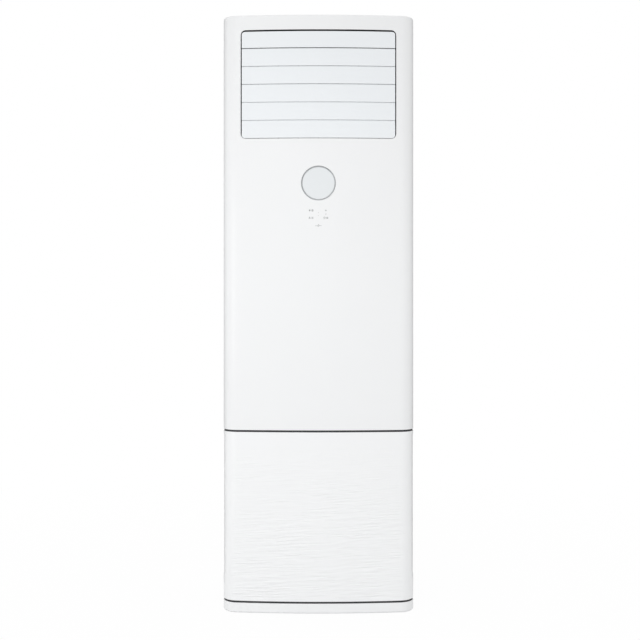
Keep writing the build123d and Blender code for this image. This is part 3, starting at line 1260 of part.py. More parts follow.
with BuildPart() as vane_motor:
    with BuildSketch(Plane.XY.offset(DUCT_FLOOR - DUCT_WALL)):
        with Locations((vane_x(1), VANE_Y)):
            Circle(VANE_MOTOR_RADIUS)
            SlotOverall(VANE_MOTOR_EARS, VANE_MOTOR_EAR)
            Circle(PIVOT_RADIUS + RUN_GAP, mode=Mode.SUBTRACT)
    extrude(amount=-MOTOR_SOCKET - SEAT_GAP)
    with BuildSketch(Plane.XY.offset(DUCT_FLOOR - DUCT_WALL - MOTOR_SOCKET - SEAT_GAP)):
        with Locations((vane_x(1), VANE_Y)):
            Circle(VANE_MOTOR_RADIUS)
    extrude(amount=-VANE_MOTOR_LENGTH)
keep(vane_motor, "vane_motor")

# ---------------------------------------------------------------- rear fittings
with BuildPart() as wall_bracket:
    with BuildSketch(Plane.XZ.offset(-(BACK_PLATE_Y + SHEET))):
        with Locations((0, BRACKET_Z)):
            RectangleRounded(BRACKET_WIDTH, BRACKET_HEIGHT, BRACKET_CORNER)
            with GridLocations(BRACKET_SLOT_PITCH, 1, 2, 1):
                SlotOverall(BRACKET_SLOT, BRACKET_SLOT_WIDTH, mode=Mode.SUBTRACT)
    extrude(amount=-BRACKET_THICKNESS)
keep(wall_bracket, "wall_bracket")


def turned_rear(place, points):
    """Revolve an outline given as radius and Y about an axis through the back plate."""
    with BuildSketch(Plane.XY.offset(place[1])) as section:
        with BuildLine():
            Polyline(*[(place[0] + radius, y) for radius, y in points], close=True)
        make_face()
    revolve(section.sketch, axis=Axis((place[0], 0, place[1]), (0, 1, 0)))


GROMMET_BORE = PIPE_HOLE_RADIUS - GROMMET_WALL
GROMMET_OUTSIDE = PIPE_HOLE_RADIUS + GROMMET_FLANGE
GROOVE_FRONT_Y = BACK_PLATE_Y - SEAT_GAP / 2
GROOVE_BACK_Y = BACK_PLATE_Y + SHEET + SEAT_GAP / 2
with BuildPart() as pipe_grommet:
    turned_rear((PIPE_X, PIPE_Z), [
        (GROMMET_BORE, GROOVE_FRONT_Y - GROMMET_LIP),
        (GROMMET_OUTSIDE, GROOVE_FRONT_Y - GROMMET_LIP),
        (GROMMET_OUTSIDE, GROOVE_FRONT_Y),
        (PIPE_HOLE_RADIUS - SEAT_GAP, GROOVE_FRONT_Y),
        (PIPE_HOLE_RADIUS - SEAT_GAP, GROOVE_BACK_Y),
        (GROMMET_OUTSIDE, GROOVE_BACK_Y),
        (GROMMET_OUTSIDE, GROOVE_BACK_Y + GROMMET_LIP),
        (GROMMET_BORE, GROOVE_BACK_Y + GROMMET_LIP),
    ])
keep(pipe_grommet, "pipe_grommet")

with BuildPart() as supply_gland:
    turned_rear((GLAND_X, GLAND_Z), [
        (GLAND_RADIUS / 2, BACK_PLATE_Y - GLAND_REACH),
        (GLAND_RADIUS - SEAT_GAP, BACK_PLATE_Y - GLAND_REACH),
        (GLAND_RADIUS - SEAT_GAP, BACK_PLATE_Y + SHEET),
        (GLAND_RADIUS + GLAND_FLANGE, BACK_PLATE_Y + SHEET),
        (GLAND_RADIUS + GLAND_FLANGE, BACK_Y - SHEET),
        (GLAND_RADIUS / 2, BACK_Y - SHEET),
    ])
keep(supply_gland, "supply_gland")
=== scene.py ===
"""Looks of a floor standing cabinet air conditioner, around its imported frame.

Metres, in the cabinet's own frame: the front faces -Y, +X is to the viewer's right and the floor
is Z = 0.
"""

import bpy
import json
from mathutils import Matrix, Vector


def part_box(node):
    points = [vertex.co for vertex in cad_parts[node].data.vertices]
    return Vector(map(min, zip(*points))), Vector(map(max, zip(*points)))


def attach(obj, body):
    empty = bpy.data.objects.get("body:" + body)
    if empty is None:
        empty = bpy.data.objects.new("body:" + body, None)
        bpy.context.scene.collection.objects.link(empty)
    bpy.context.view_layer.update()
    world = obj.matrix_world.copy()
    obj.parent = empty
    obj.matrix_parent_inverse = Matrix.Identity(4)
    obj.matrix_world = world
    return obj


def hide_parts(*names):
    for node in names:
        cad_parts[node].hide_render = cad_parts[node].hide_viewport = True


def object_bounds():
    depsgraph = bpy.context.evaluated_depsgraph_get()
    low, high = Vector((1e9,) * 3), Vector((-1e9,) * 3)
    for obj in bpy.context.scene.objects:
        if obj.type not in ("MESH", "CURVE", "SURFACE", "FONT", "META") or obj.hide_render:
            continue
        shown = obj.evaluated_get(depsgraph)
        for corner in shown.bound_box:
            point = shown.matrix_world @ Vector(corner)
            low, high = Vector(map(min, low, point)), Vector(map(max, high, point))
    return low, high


bl_info = {
    "name": "Cabinet air conditioner",
    "version": (1, 0, 0),
    "blender": (4, 5, 0),
    "location": "View3D > Sidebar > Cabinet",
    "description": "Dresses a floor standing cabinet air conditioner and sets its studio",
    "category": "Object",
}

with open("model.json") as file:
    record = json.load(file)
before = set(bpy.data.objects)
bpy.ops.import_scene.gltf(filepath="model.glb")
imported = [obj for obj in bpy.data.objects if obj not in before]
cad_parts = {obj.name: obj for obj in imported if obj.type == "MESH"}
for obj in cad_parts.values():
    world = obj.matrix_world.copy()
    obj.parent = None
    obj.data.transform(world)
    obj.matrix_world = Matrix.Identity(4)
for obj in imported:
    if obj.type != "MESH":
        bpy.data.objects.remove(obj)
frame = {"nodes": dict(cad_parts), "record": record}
CAD_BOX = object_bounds()

import json
import math

import bmesh
import bpy
from bpy.props import FloatProperty, FloatVectorProperty, PointerProperty
from bpy.types import Operator, Panel, PropertyGroup
from mathutils import Matrix, Vector, noise

MM = 0.001
CABINET = "cabinet"
SAME = 1e-6  # places nearer than this are one place
CUT_SLACK = 1e-7  # a corner nearer than this to a cut lies on it

# ---------------- sizes of the casing
UPPER_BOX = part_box("upper_front_panel")
LOWER_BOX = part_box("lower_front_panel")
LENS_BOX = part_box("display_lens")
GRILLE_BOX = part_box("intake_grille_right")
FILTER_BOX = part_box("air_filter_right")
PLINTH_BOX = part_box("base_plinth")
BACK_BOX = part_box("back_plate")
BRACKET_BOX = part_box("wall_bracket")

HALF_WIDTH = UPPER_BOX[1].x
FRONT_Y = UPPER_BOX[0].y
WRAP_Y = UPPER_BOX[1].y
BOW_RADIUS = 2200 * MM
CORNER_RADIUS = 46 * MM
TOP_EDGE_RADIUS = 5 * MM
PANEL_WALL = 2.6 * MM
RETURN_DEPTH = 12 * MM
LOWER_RETURN_DEPTH = 7.5 * MM

OUTLET_HALF_WIDTH = 227.8 * MM
OUTLET_LOW = 1388.6 * MM
OUTLET_HIGH = 1706.2 * MM
OUTLET_CORNER = 15 * MM
DISPLAY_Z = (LENS_BOX[0].z + LENS_BOX[1].z) / 2
DISPLAY_HOLE_RADIUS = 50.5 * MM
FILTER_MIDDLE_Y = (FILTER_BOX[0].y + FILTER_BOX[1].y) / 2

INTAKE_EASE = 0.5 * MM
INTAKE_LOW = GRILLE_BOX[0].z - INTAKE_EASE
INTAKE_HIGH = GRILLE_BOX[1].z + INTAKE_EASE
INTAKE_FRONT_Y = GRILLE_BOX[0].y - INTAKE_EASE
RECESS_FRONT_Y = GRILLE_BOX[0].y - CORNER_RADIUS / 2
INTAKE_RECESS = 1.2 * MM


# ---------------- settings
class CasingSettings(PropertyGroup):
    """Colours and sizes of the casing's finish."""

    casing_colour: FloatVectorProperty(
        name="Casing", description="Colour of the moulded front panels", subtype="COLOR",
        size=3, min=0, max=1, default=(0.825, 0.832, 0.838),
    )
    louvre_colour: FloatVectorProperty(
        name="Louvres", description="Colour of the swing louvres, a little cooler", subtype="COLOR",
        size=3, min=0, max=1, default=(0.80, 0.825, 0.845),
    )
    sheet_colour: FloatVectorProperty(
        name="Sheet", description="Colour of the powder coated side plates and cover",
        subtype="COLOR", size=3, min=0, max=1, default=(0.80, 0.81, 0.815),
    )
    lens_colour: FloatVectorProperty(
        name="Display lens", description="Colour of the round display's lens", subtype="COLOR",
        size=3, min=0, max=1, default=(0.74, 0.765, 0.78),
    )
    ring_colour: FloatVectorProperty(
        name="Display ring", description="Colour of the ring around the display", subtype="COLOR",
        size=3, min=0, max=1, default=(0.43, 0.445, 0.46),
    )
    mark_colour: FloatVectorProperty(
        name="Touch marks", description="Colour of the printed touch marks", subtype="COLOR",
        size=3, min=0, max=1, default=(0.22, 0.225, 0.23),
    )
    edge_radius: FloatProperty(
        name="Edge radius", description="Rounding of the moulded panels' edges", subtype="DISTANCE",
        unit="LENGTH", min=0, max=3 * MM, default=0.8 * MM,
    )
    ripple_depth: FloatProperty(
        name="Ripple depth", description="Depth of the lower panel's relief", subtype="DISTANCE",
        unit="LENGTH", min=0, max=2 * MM, default=0.9 * MM,
    )
    ripple_pitch: FloatProperty(
        name="Ripple pitch", description="Height from one ripple to the next", subtype="DISTANCE",
        unit="LENGTH", min=2 * MM, max=40 * MM, default=4.2 * MM,
    )
    ripple_length: FloatProperty(
        name="Ripple length", description="Length of a ripple across the panel", subtype="DISTANCE",
        unit="LENGTH", min=10 * MM, max=400 * MM, default=60 * MM,
    )


class StudioSettings(PropertyGroup):
    """Camera and light of the studio."""

    eye_height: FloatProperty(
        name="Eye height", description="Height of the level camera over the floor",
        subtype="DISTANCE", unit="LENGTH", min=0.1, max=3, default=0.91,
    )
    lens: FloatProperty(
        name="Lens", description="Focal length on a 36 mm sensor", subtype="DISTANCE_CAMERA",
        min=10, max=300, default=59.82,
    )
    ambient: FloatProperty(
        name="Ambient", description="Strength of the even light from all round",
        min=0, max=2, default=0.92,
    )
    key_power: FloatProperty(
        name="Key power", description="Power of the tall lamp at the front left", subtype="POWER",
        unit="POWER", min=0, max=2000, default=14.6,
    )
    fill_power: FloatProperty(
        name="Fill power", description="Power of the tall lamp at the front right", subtype="POWER",
        unit="POWER", min=0, max=2000, default=3.2,
    )
    relief_power: FloatProperty(
        name="Relief power", description="Power of the narrow lamp aimed down at the lower panel",
        subtype="POWER", unit="POWER", min=0, max=2000, default=2.5,
    )
    rear_power: FloatProperty(
        name="Rear power", description="Power of the high lamp behind the cabinet", subtype="POWER",
        unit="POWER", min=0, max=2000, default=9,
    )


# ---------------- nodes
class Term:
    """A node's output that takes part in Python arithmetic."""

    def __init__(self, sheet, socket):
        self.sheet = sheet
        self.socket = socket

    def __add__(self, other):
        return self.sheet.maths("ADD", self, other)

    __radd__ = __add__

    def __mul__(self, other):
        return self.sheet.maths("MULTIPLY", self, other)

    __rmul__ = __mul__

    def __sub__(self, other):
        return self.sheet.maths("SUBTRACT", self, other)

    def __rsub__(self, other):
        return self.sheet.maths("SUBTRACT", other, self)

    def __truediv__(self, other):
        return self.sheet.maths("DIVIDE", self, other)

    def __rtruediv__(self, other):
        return self.sheet.maths("DIVIDE", other, self)

    def __gt__(self, other):
        return self.sheet.maths("GREATER_THAN", self, other)

    def __lt__(self, other):
        return self.sheet.maths("LESS_THAN", self, other)


class NodeSheet:
    """A node tree, with one way to make its nodes."""

    def __init__(self, tree):
        self.tree = tree
        tree.nodes.clear()

    def node(self, kind, settings=None, **sockets):
        """A node of this type: its settings first, then its sockets' values or links."""
        made = self.tree.nodes.new(kind)
        for name, value in (settings or {}).items():
            setattr(made, name, value)
        for name, value in sockets.items():
            socket = self.find(made, name)
            if isinstance(value, Term):
                self.tree.links.new(value.socket, socket)
            else:
                socket.default_value = value
        return made

    @staticmethod
    def find(made, name):
        """The input that a keyword names: in_0 by its place, base_color by its words."""
        if name.startswith("in_"):
            return made.inputs[int(name[3:])]
        for socket in made.inputs:
            if socket.enabled and socket.name.lower().replace(" ", "_") == name:
                return socket
        raise KeyError(f"{made.bl_idname} has no socket {name}")

    def term(self, kind, settings=None, out=0, **sockets):
        return Term(self, self.node(kind, settings, **sockets).outputs[out])

    def maths(self, operation, first, second=0, clamp=False):
        settings = {"operation": operation, "use_clamp": clamp}
        return self.term("ShaderNodeMath", settings, in_0=first, in_1=second)

    def show(self, shader, output="ShaderNodeOutputMaterial"):
        """Send a shader's node to the surface of the output."""
        self.tree.links.new(shader.outputs[0], self.node(output).inputs["Surface"])


class Finish(NodeSheet):
    """A procedural material on Object coordinates."""

    def __init__(self, name):
        self.material = bpy.data.materials.new(name)
        self.material.use_nodes = True
        super().__init__(self.material.node_tree)
        self.place = self.term("ShaderNodeTexCoord", out="Object")

    def mapped(self, stretch=(1, 1, 1), turn=(0, 0, 0)):
        return self.term("ShaderNodeMapping", vector=self.place, scale=stretch, rotation=turn)

    def grain(self, scale, detail, stretch=(1, 1, 1)):
        """Smooth noise from 0 to 1 over the surface."""
        place = self.mapped(stretch)
        return self.term("ShaderNodeTexNoise", out="Fac", vector=place, scale=scale, detail=detail)

    def axis(self, name):
        """One Object coordinate."""
        parts = self.node("ShaderNodeSeparateXYZ", vector=self.place)
        return Term(self, parts.outputs[name])

    def shade(self, factor, dark, light):
        """A colour between two colours or terms, by a factor."""
        ends = [end if isinstance(end, Term) else (*end, 1) for end in (dark, light)]
        return self.term(
            "ShaderNodeMix", {"data_type": "RGBA"}, out=2, in_0=factor, in_6=ends[0], in_7=ends[1],
        )

    def bump(self, height, distance):
        return self.term("ShaderNodeBump", height=height, distance=distance)

    def close(self, **sockets):
        """The surface shader from its sockets, linked to the output."""
        self.show(self.node("ShaderNodeBsdfPrincipled", **sockets))
        return self.material


def tint(colour, factor):
    """A colour made lighter or darker."""
    return tuple(min(1.0, part * factor) for part in colour)


# ---------------- finishes
GLOSS_ROUGHNESS = 0.3
GLOSS_COAT = 0.06
LOUVRE_HALF = 224.7 * MM
# Near black of the louvres' pins: partly their own dark metal, partly painted shade of the gap
# around them.
SHADED_PIN_COLOUR = (0.06, 0.062, 0.065)
PIN_ROUGHNESS = 0.5
FIN_PITCH = 1.7 * MM
FIN_GAP_SHARE = 0.65
NET_PITCH = 2.2 * MM
NET_THREAD = 0.14
NET_HALF_DEPTH = 0.6 * MM
NET_OPENNESS = 0.85
GROOVE_PITCH = 0.25 * MM


def flow_tone(f, colour):
    """A moulding's colour with a trace of flow in its tone."""
    return f.shade(f.grain(3.5, detail=3), tint(colour, 0.988), tint(colour, 1.008))


def orange_peel(f):
    return f.bump(f.grain(420, detail=1), 0.012 * MM)


def gloss_moulding(name, colour, roughness=GLOSS_ROUGHNESS, coat=GLOSS_COAT):
    """Moulded gloss plastic: a trace of orange peel and of flow in its tone."""
    f = Finish(name)
    smear = f.grain(28, detail=4, stretch=(1, 1, 0.35))
    return f.close(
        base_color=flow_tone(f, colour),
        roughness=roughness + (smear - 0.5) * 0.05,
        coat_weight=coat,
        coat_roughness=0.1,
        specular_ior_level=0.3,
        normal=orange_peel(f),
    )


def louvre_moulding(name, colour):
    """Moulded gloss plastic of a louvre, with its pivot pins beyond the blade's ends painted near
    black: partly the pins' own dark metal, partly painted shade of the gap they cross.
    """
    f = Finish(name)
    # The pins are painted near black: partly their own dark metal, partly painted shade of the gap
    # around them.
    shaded_pin = f.maths("ABSOLUTE", f.axis("X")) > LOUVRE_HALF
    return f.close(
        base_color=f.shade(shaded_pin, flow_tone(f, colour), SHADED_PIN_COLOUR),
        roughness=GLOSS_ROUGHNESS + shaded_pin * (PIN_ROUGHNESS - GLOSS_ROUGHNESS),
        coat_weight=GLOSS_COAT - shaded_pin * GLOSS_COAT,
        coat_roughness=0.1,
        specular_ior_level=0.3,
        normal=orange_peel(f),
    )


def satin_moulding(name, colour, roughness=0.5, texture=0.03):
    """Moulded satin plastic with a fine spark-eroded texture."""
    f = Finish(name)
    flow = f.grain(6, detail=3)
    scuff = f.grain(60, detail=5, stretch=(1, 1, 0.2))
    pores = f.grain(1400, detail=2)
    return f.close(
        base_color=f.shade(flow, tint(colour, 0.95), tint(colour, 1.04)),
        roughness=roughness + (scuff - 0.5) * 0.16,
        normal=f.bump(pores, texture * MM),
    )


def powder_coat(name, colour):
    """Powder coated sheet: a fine even orange peel over steel."""
    f = Finish(name)
    flow = f.grain(2.5, detail=2)
    peel = f.grain(950, detail=2)
    waves = f.grain(9, detail=1)
    rub = f.grain(45, detail=4)
    return f.close(
        base_color=f.shade(flow, tint(colour, 0.985), tint(colour, 1.01)),
        roughness=0.38 + (rub - 0.5) * 0.08,
        normal=f.bump(peel + waves * 6, 0.02 * MM),
    )


def galvanised_sheet(name, colour):
    """Zinc coated steel with its spangle."""
    f = Finish(name)
    spangle = f.node(
        "ShaderNodeTexVoronoi", {"feature": "F1"},
        vector=f.mapped(turn=(0.3, 0.2, 0.5)), scale=95, randomness=1,
    )
    cell = f.term("ShaderNodeSeparateColor", color=Term(f, spangle.outputs["Color"]))
    streak = f.grain(40, detail=4, stretch=(0.2, 1, 1))
    dust = f.grain(7, detail=5)
    tone = cell * 0.55 + streak * 0.25 + dust * 0.2
    return f.close(
        base_color=f.shade(tone, tint(colour, 0.78), tint(colour, 1.12)),
        metallic=0.85,
        roughness=0.36 + cell * 0.16 + dust * 0.1,
        normal=f.bump(cell, 0.02 * MM),
    )


def drawn_metal(name, colour, roughness=0.28, stretch=(1, 12, 12), tarnish=0.15):
    """Bright metal with drawing lines and a little tarnish."""
    f = Finish(name)
    lines = f.grain(220, detail=3, stretch=stretch)
    stain = f.grain(30, detail=5)
    return f.close(
        base_color=f.shade(stain * tarnish + lines * 0.3, tint(colour, 1.1), tint(colour, 0.6)),
        metallic=1.0,
        roughness=roughness + (lines - 0.5) * 0.15 + stain * tarnish,
        normal=f.bump(lines, 0.01 * MM),
    )


def fin_stock(name, colour):
    """Coated aluminium fins, brushed up the coil, with dew stains; the gaps between the fins are
    painted near black, a painted shade of the coil's depth.
    """
    f = Finish(name)
    # Stripes of painted shade: the gaps between the fins, painted near black.
    fin_gap_shade = f.maths("FRACT", f.axis("X") / FIN_PITCH) < FIN_GAP_SHARE
    stain = f.grain(22, detail=5)
    return f.close(
        base_color=f.shade(fin_gap_shade * 0.8 + stain * 0.15, tint(colour, 0.9), tint(colour, 0.06)),
        metallic=0.9,
        roughness=0.34 + stain * 0.12,
        normal=f.bump(1 - fin_gap_shade, 0.4 * MM),
    )


def soft_rubber(name, colour):
    """Black rubber or foam with a pale bloom."""
    f = Finish(name)
    bloom = f.grain(35, detail=5)
    pores = f.grain(900, detail=2)
    return f.close(
        base_color=f.shade(bloom, tint(colour, 0.8), tint(colour, 1.7)),
        roughness=0.62 + bloom * 0.2,
        normal=f.bump(pores, 0.05 * MM),
    )


def enamel(name, colour):
    """Dipped black enamel on a pressed shell."""
    f = Finish(name)
    runs = f.grain(18, detail=3, stretch=(1, 0.3, 1))
    dust = f.grain(120, detail=5)
    return f.close(
        base_color=f.shade(dust, tint(colour, 0.85), tint(colour, 1.6)),
        roughness=0.3 + dust * 0.2,
        coat_weight=0.3,
        normal=f.bump(runs, 0.08 * MM),
    )


def woven_filter(name, colour):
    """Moulded frame and net: square holes between fine threads, open where the net is."""
    f = Finish(name)
    across = f.maths("PINGPONG", f.axis("X") / NET_PITCH, 0.5)
    up = f.maths("PINGPONG", f.axis("Z") / NET_PITCH, 0.5)
    hole = (across > NET_THREAD) * (up > NET_THREAD)
    net = f.maths("ABSOLUTE", f.axis("Y") - FILTER_MIDDLE_Y) < NET_HALF_DEPTH
    dust = f.grain(25, detail=5)
    return f.close(
        base_color=f.shade(dust, tint(colour, 0.85), tint(colour, 1.25)),
        roughness=0.55 + dust * 0.15,
        alpha=1 - hole * net * NET_OPENNESS,
        normal=f.bump(1 - hole, 0.12 * MM),
    )


def circuit_laminate(name, colour):
    """Green laminate with copper runs under the mask."""
    f = Finish(name)
    runs = f.node(
        "ShaderNodeTexBrick", {"offset": 0.37, "squash": 1.0},
        vector=f.mapped(turn=(math.pi / 2, 0, 0)), scale=1, mortar_size=0.35 * MM,
        brick_width=17 * MM, row_height=2.6 * MM, mortar_smooth=0.1,
    )
    track = Term(f, runs.outputs["Fac"])
    mask = f.grain(160, detail=2)
    return f.close(
        base_color=f.shade(track * 0.6 + mask * 0.2, colour, tint(colour, 2.6)),
        roughness=0.34 + mask * 0.1,
        normal=f.bump(track, 0.05 * MM),
    )


def display_glass(name, colour):
    """Pale lens, smooth and slightly hazy."""
    f = Finish(name)
    haze = f.grain(14, detail=2)
    return f.close(
        base_color=f.shade(haze, tint(colour, 0.985), tint(colour, 1.01)),
        roughness=0.14 + (haze - 0.5) * 0.03,
        coat_weight=0.5,
        coat_roughness=0.04,
    )


def ring_metal(name, colour):
    """Satin ring turned on a lathe: fine circles about the display's axis."""
    f = Finish(name)
    x = f.axis("X")
    z = f.axis("Z") - DISPLAY_Z
    radius = f.maths("SQRT", x * x + z * z)
    turned = f.maths("SINE", radius * (2 * math.pi / GROOVE_PITCH))
    wear = f.grain(80, detail=3)
    return f.close(
        base_color=f.shade(wear, tint(colour, 0.93), tint(colour, 1.07)),
        metallic=0.35,
        roughness=0.36 + (wear - 0.5) * 0.08,
        normal=f.bump(turned, 0.004 * MM),
    )


def printed_mark(name, colour):
    """Screen printed ink with a little grain."""
    f = Finish(name)
    ink = f.grain(700, detail=2)
    return f.close(
        base_color=f.shade(ink, tint(colour, 0.95), tint(colour, 1.06)),
        roughness=0.42 + ink * 0.06,
    )


def make_finishes(casing):
    """Every finish by the name of its slot in the record."""
    return {
        "casing_plastic": gloss_moulding("casing gloss", casing.casing_colour),
        "ripple_panel": gloss_moulding("ripple gloss", casing.casing_colour),
        "louvre_plastic": louvre_moulding("louvre gloss", casing.louvre_colour),
        "plinth_plastic": gloss_moulding(
            "plinth satin", casing.casing_colour, roughness=0.36, coat=0.1,
        ),
        "casing_sheet": powder_coat("side plate coat", casing.sheet_colour),
        "grille_plastic": satin_moulding("grille satin", (0.72, 0.735, 0.745)),
        # The duct is this dark partly in its own plastic, partly as painted shade that darkens the
        # gaps between the louvres.
        "frame_plastic": satin_moulding("duct satin", (0.14, 0.145, 0.15)),
        "scroll_plastic": satin_moulding("scroll satin", (0.45, 0.47, 0.48)),
        "wheel_plastic": satin_moulding("wheel satin", (0.07, 0.075, 0.08), roughness=0.45),
        "vane_plastic": satin_moulding("vane satin", (0.13, 0.135, 0.14), roughness=0.42),
        "foam_tray": satin_moulding("tray satin", (0.7, 0.71, 0.72), roughness=0.7, texture=0.12),
        "hose_plastic": satin_moulding("hose satin", (0.6, 0.61, 0.62)),
        "terminal_plastic": satin_moulding("terminal satin", (0.66, 0.64, 0.58)),
        "filter_mesh": woven_filter("filter net", (0.22, 0.25, 0.29)),
        "galvanised": galvanised_sheet("galvanised sheet", (0.58, 0.59, 0.6)),
        "steel": drawn_metal("bright steel", (0.6, 0.6, 0.61)),
        "copper": drawn_metal("copper tube", (0.78, 0.42, 0.27), stretch=(12, 12, 1), tarnish=0.5),
        "brass_nut": drawn_metal("brass nut", (0.76, 0.6, 0.3), roughness=0.22),
        "fin_aluminium": fin_stock("coated fins", (0.68, 0.73, 0.78)),
        "rubber": soft_rubber("black rubber", (0.03, 0.03, 0.032)),
        "motor_paint": enamel("black enamel", (0.035, 0.035, 0.038)),
        "board": circuit_laminate("board laminate", (0.02, 0.1, 0.045)),
        "display_lens": display_glass("display lens", casing.lens_colour),
        "bezel_plastic": ring_metal("display ring", casing.ring_colour),
        "marks": printed_mark("touch marks", casing.mark_colour),
    }


FINISHES = {}


def finish_of(slot):
    """The material of a slot, made with all the others at the first call."""
    if not FINISHES:
        FINISHES.update(make_finishes(bpy.context.scene.casing))
    return FINISHES[slot]


# ---------------- mesh helpers
class Plan:
    """Plan of the casing's front: a shallow bow between two rounded corners, unrolled to a run."""

    def __init__(self):
        self.bow_centre_y = FRONT_Y + BOW_RADIUS
        self.corner_x = HALF_WIDTH - CORNER_RADIUS
        reach = BOW_RADIUS - CORNER_RADIUS
        self.corner_y = self.bow_centre_y - math.sqrt(reach**2 - self.corner_x**2)
        self.bow_angle = math.asin(self.corner_x / reach)
        self.bow_end = BOW_RADIUS * math.sin(self.bow_angle)
        self.corner_end = self.bow_end + CORNER_RADIUS * (math.pi / 2 - self.bow_angle)
        self.full = self.run_to(WRAP_Y)

    def run_to(self, y):
        """The run at which the straight side reaches this depth."""
        return self.corner_end + y - self.corner_y

    def run_at_corner(self, y):
        """The run at which the corner reaches this depth."""
        turn = math.asin((self.corner_y - y) / CORNER_RADIUS)
        return self.corner_end - CORNER_RADIUS * turn

    def place(self, run, inset, level):
        """The point at this run along the front, this far inside it, at this height."""
        side = math.copysign(1, run)
        run = abs(run)
        if run <= self.bow_end:
            turn = math.asin(run / BOW_RADIUS) - math.pi / 2
            x = (BOW_RADIUS - inset) * math.cos(turn)
            y = self.bow_centre_y + (BOW_RADIUS - inset) * math.sin(turn)
        else:
            turn = min(0.0, (run - self.corner_end) / CORNER_RADIUS)
            x = self.corner_x + (CORNER_RADIUS - inset) * math.cos(turn)
            y = self.corner_y + (CORNER_RADIUS - inset) * math.sin(turn)
            y += max(0.0, run - self.corner_end)
        return Vector((side * x, y, level))


PLAN = Plan()
BOW_STEP = 12 * MM
CORNER_STEPS = 12
ROUND_STEPS = 6
SHARP_ANGLE = 35
BEVEL_ANGLE = 38


def strip_lines():
    """Runs of the upright lines at which a flat panel is divided before it is bent."""
    count = math.ceil(2 * PLAN.bow_end / BOW_STEP)
    lines = [PLAN.bow_end * (2 * step / count - 1) for step in range(count + 1)]
    corner = PLAN.corner_end - PLAN.bow_end
    for step in range(1, CORNER_STEPS + 1):
        run = PLAN.bow_end + corner * step / CORNER_STEPS
        lines += [run, -run]
    return sorted(lines)


def divide(bm, axis, places):
    """Cut the flat mesh along lines square to an axis."""
    normal = Vector((1, 0, 0)) if axis == "x" else Vector((0, 1, 0))
    for place in places:
        geometry = bm.verts[:] + bm.edges[:] + bm.faces[:]
        bmesh.ops.bisect_plane(
            bm, geom=geometry, plane_co=normal * place, plane_no=normal, dist=CUT_SLACK,
        )


def rectangle(bm, x_range, y_range):
    """A flat face between two pairs of limits."""
    size = Vector((x_range[1] - x_range[0], y_range[1] - y_range[0], 1))
    centre = Vector(((x_range[0] + x_range[1]) / 2, (y_range[0] + y_range[1]) / 2, 0))
    matrix = Matrix.Translation(centre) @ Matrix.Diagonal((*size, 1))
    return bmesh.ops.create_grid(bm, x_segments=1, y_segments=1, size=0.5, matrix=matrix)["verts"]


def bare_outline(bm, verts):
    """Take a face away and leave its edges."""
    faces = {face for vert in verts for face in vert.link_faces}
    bmesh.ops.delete(bm, geom=list(faces), context="FACES_ONLY")


def extrude_edge(bm, edges, steps):
    """Carry a row of boundary edges through steps given as (inset, level)."""
    for inset, level in steps:
        made = bmesh.ops.extrude_edge_only(bm, edges=edges)["geom"]
        edges = [item for item in made if isinstance(item, bmesh.types.BMEdge)]
        for vert in {vert for edge in edges for vert in edge.verts}:
            vert.co.y = level
            vert.co.z = inset
    return edges


def rounded_steps(level, radius, upward, count=ROUND_STEPS):
    """Inset and level along a quarter round from the face to the top or bottom."""
    steps = []
    for step in range(1, count + 1):
        turn = math.pi / 2 * step / count
        inset = radius * (1 - math.cos(turn))
        steps.append((inset, level + upward * radius * (math.sin(turn) - 1)))
    return steps


def open_edges(bm, fits):
    """Boundary edges whose two ends fit a test."""
    return [edge for edge in bm.edges if edge.is_boundary and all(fits(v) for v in edge.verts)]


def edges_at(bm, level):
    """Boundary edges of the flat mesh at this level."""
    return open_edges(bm, lambda vert: abs(vert.co.y - level) < SAME)


def bend_to_plan(bm):
    """Bend a flat mesh, with X as run, Y as height and Z as inset, to the casing's plan."""
    for vert in bm.verts:
        vert.co = PLAN.place(vert.co.x, vert.co.z, vert.co.y)


def face_outwards(bm):
    """Make all faces agree, with the front ones looking to the front."""
    bmesh.ops.remove_doubles(bm, verts=bm.verts, dist=SAME)
    bmesh.ops.recalc_face_normals(bm, faces=bm.faces)
    front = min(bm.faces, key=lambda face: (face.calc_center_median().y, face.index))
    if front.normal.y > 0:
        bmesh.ops.reverse_faces(bm, faces=bm.faces)


def to_piece(bm, name, slot, finish=None):
    """The mesh as a named piece of the cabinet, with its slot's finish or another."""
    mesh = bpy.data.meshes.new(name)
    for face in bm.faces:
        face.smooth = True
    bm.to_mesh(mesh)
    bm.free()
    mesh.set_sharp_from_angle(angle=math.radians(SHARP_ANGLE))
    piece = bpy.data.objects.new(name, mesh)
    bpy.context.scene.collection.objects.link(piece)
    mesh.materials.append(finish_of(finish or slot))
    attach(piece, CABINET)
    return piece


def give_wall(piece, thickness):
    """Thicken a sheet inwards."""
    wall = piece.modifiers.new("wall", "SOLIDIFY")
    wall.thickness = thickness
    wall.offset = -1
    wall.use_even_offset = True


def round_edges(piece, radius, segments=3):
    """Round a piece's sharp edges."""
    edge = piece.modifiers.new("edges", "BEVEL")
    edge.width = radius
    edge.segments = segments
    edge.limit_method = "ANGLE"
    edge.angle_limit = math.radians(BEVEL_ANGLE)
    edge.harden_normals = True
    edge.use_clamp_overlap = True


# ---------------- panels
# The shells stop this much short of their solids, so that the two gaps look as dark as they are.
SEAM_EASE = 0.4 * MM
BASE_EASE = 0.6 * MM
UPPER_LOW = UPPER_BOX[0].z + SEAM_EASE
UPPER_HIGH = UPPER_BOX[1].z
LOWER_LOW = LOWER_BOX[0].z + BASE_EASE
LOWER_HIGH = LOWER_BOX[1].z - SEAM_EASE
RIM_RADIUS = 1.2 * MM
RIM_STEPS = 3
OUTLET_CORNER_STEPS = 8
DISPLAY_HOLE_SIDES = 96
FLAT_ANGLE = 1e-3


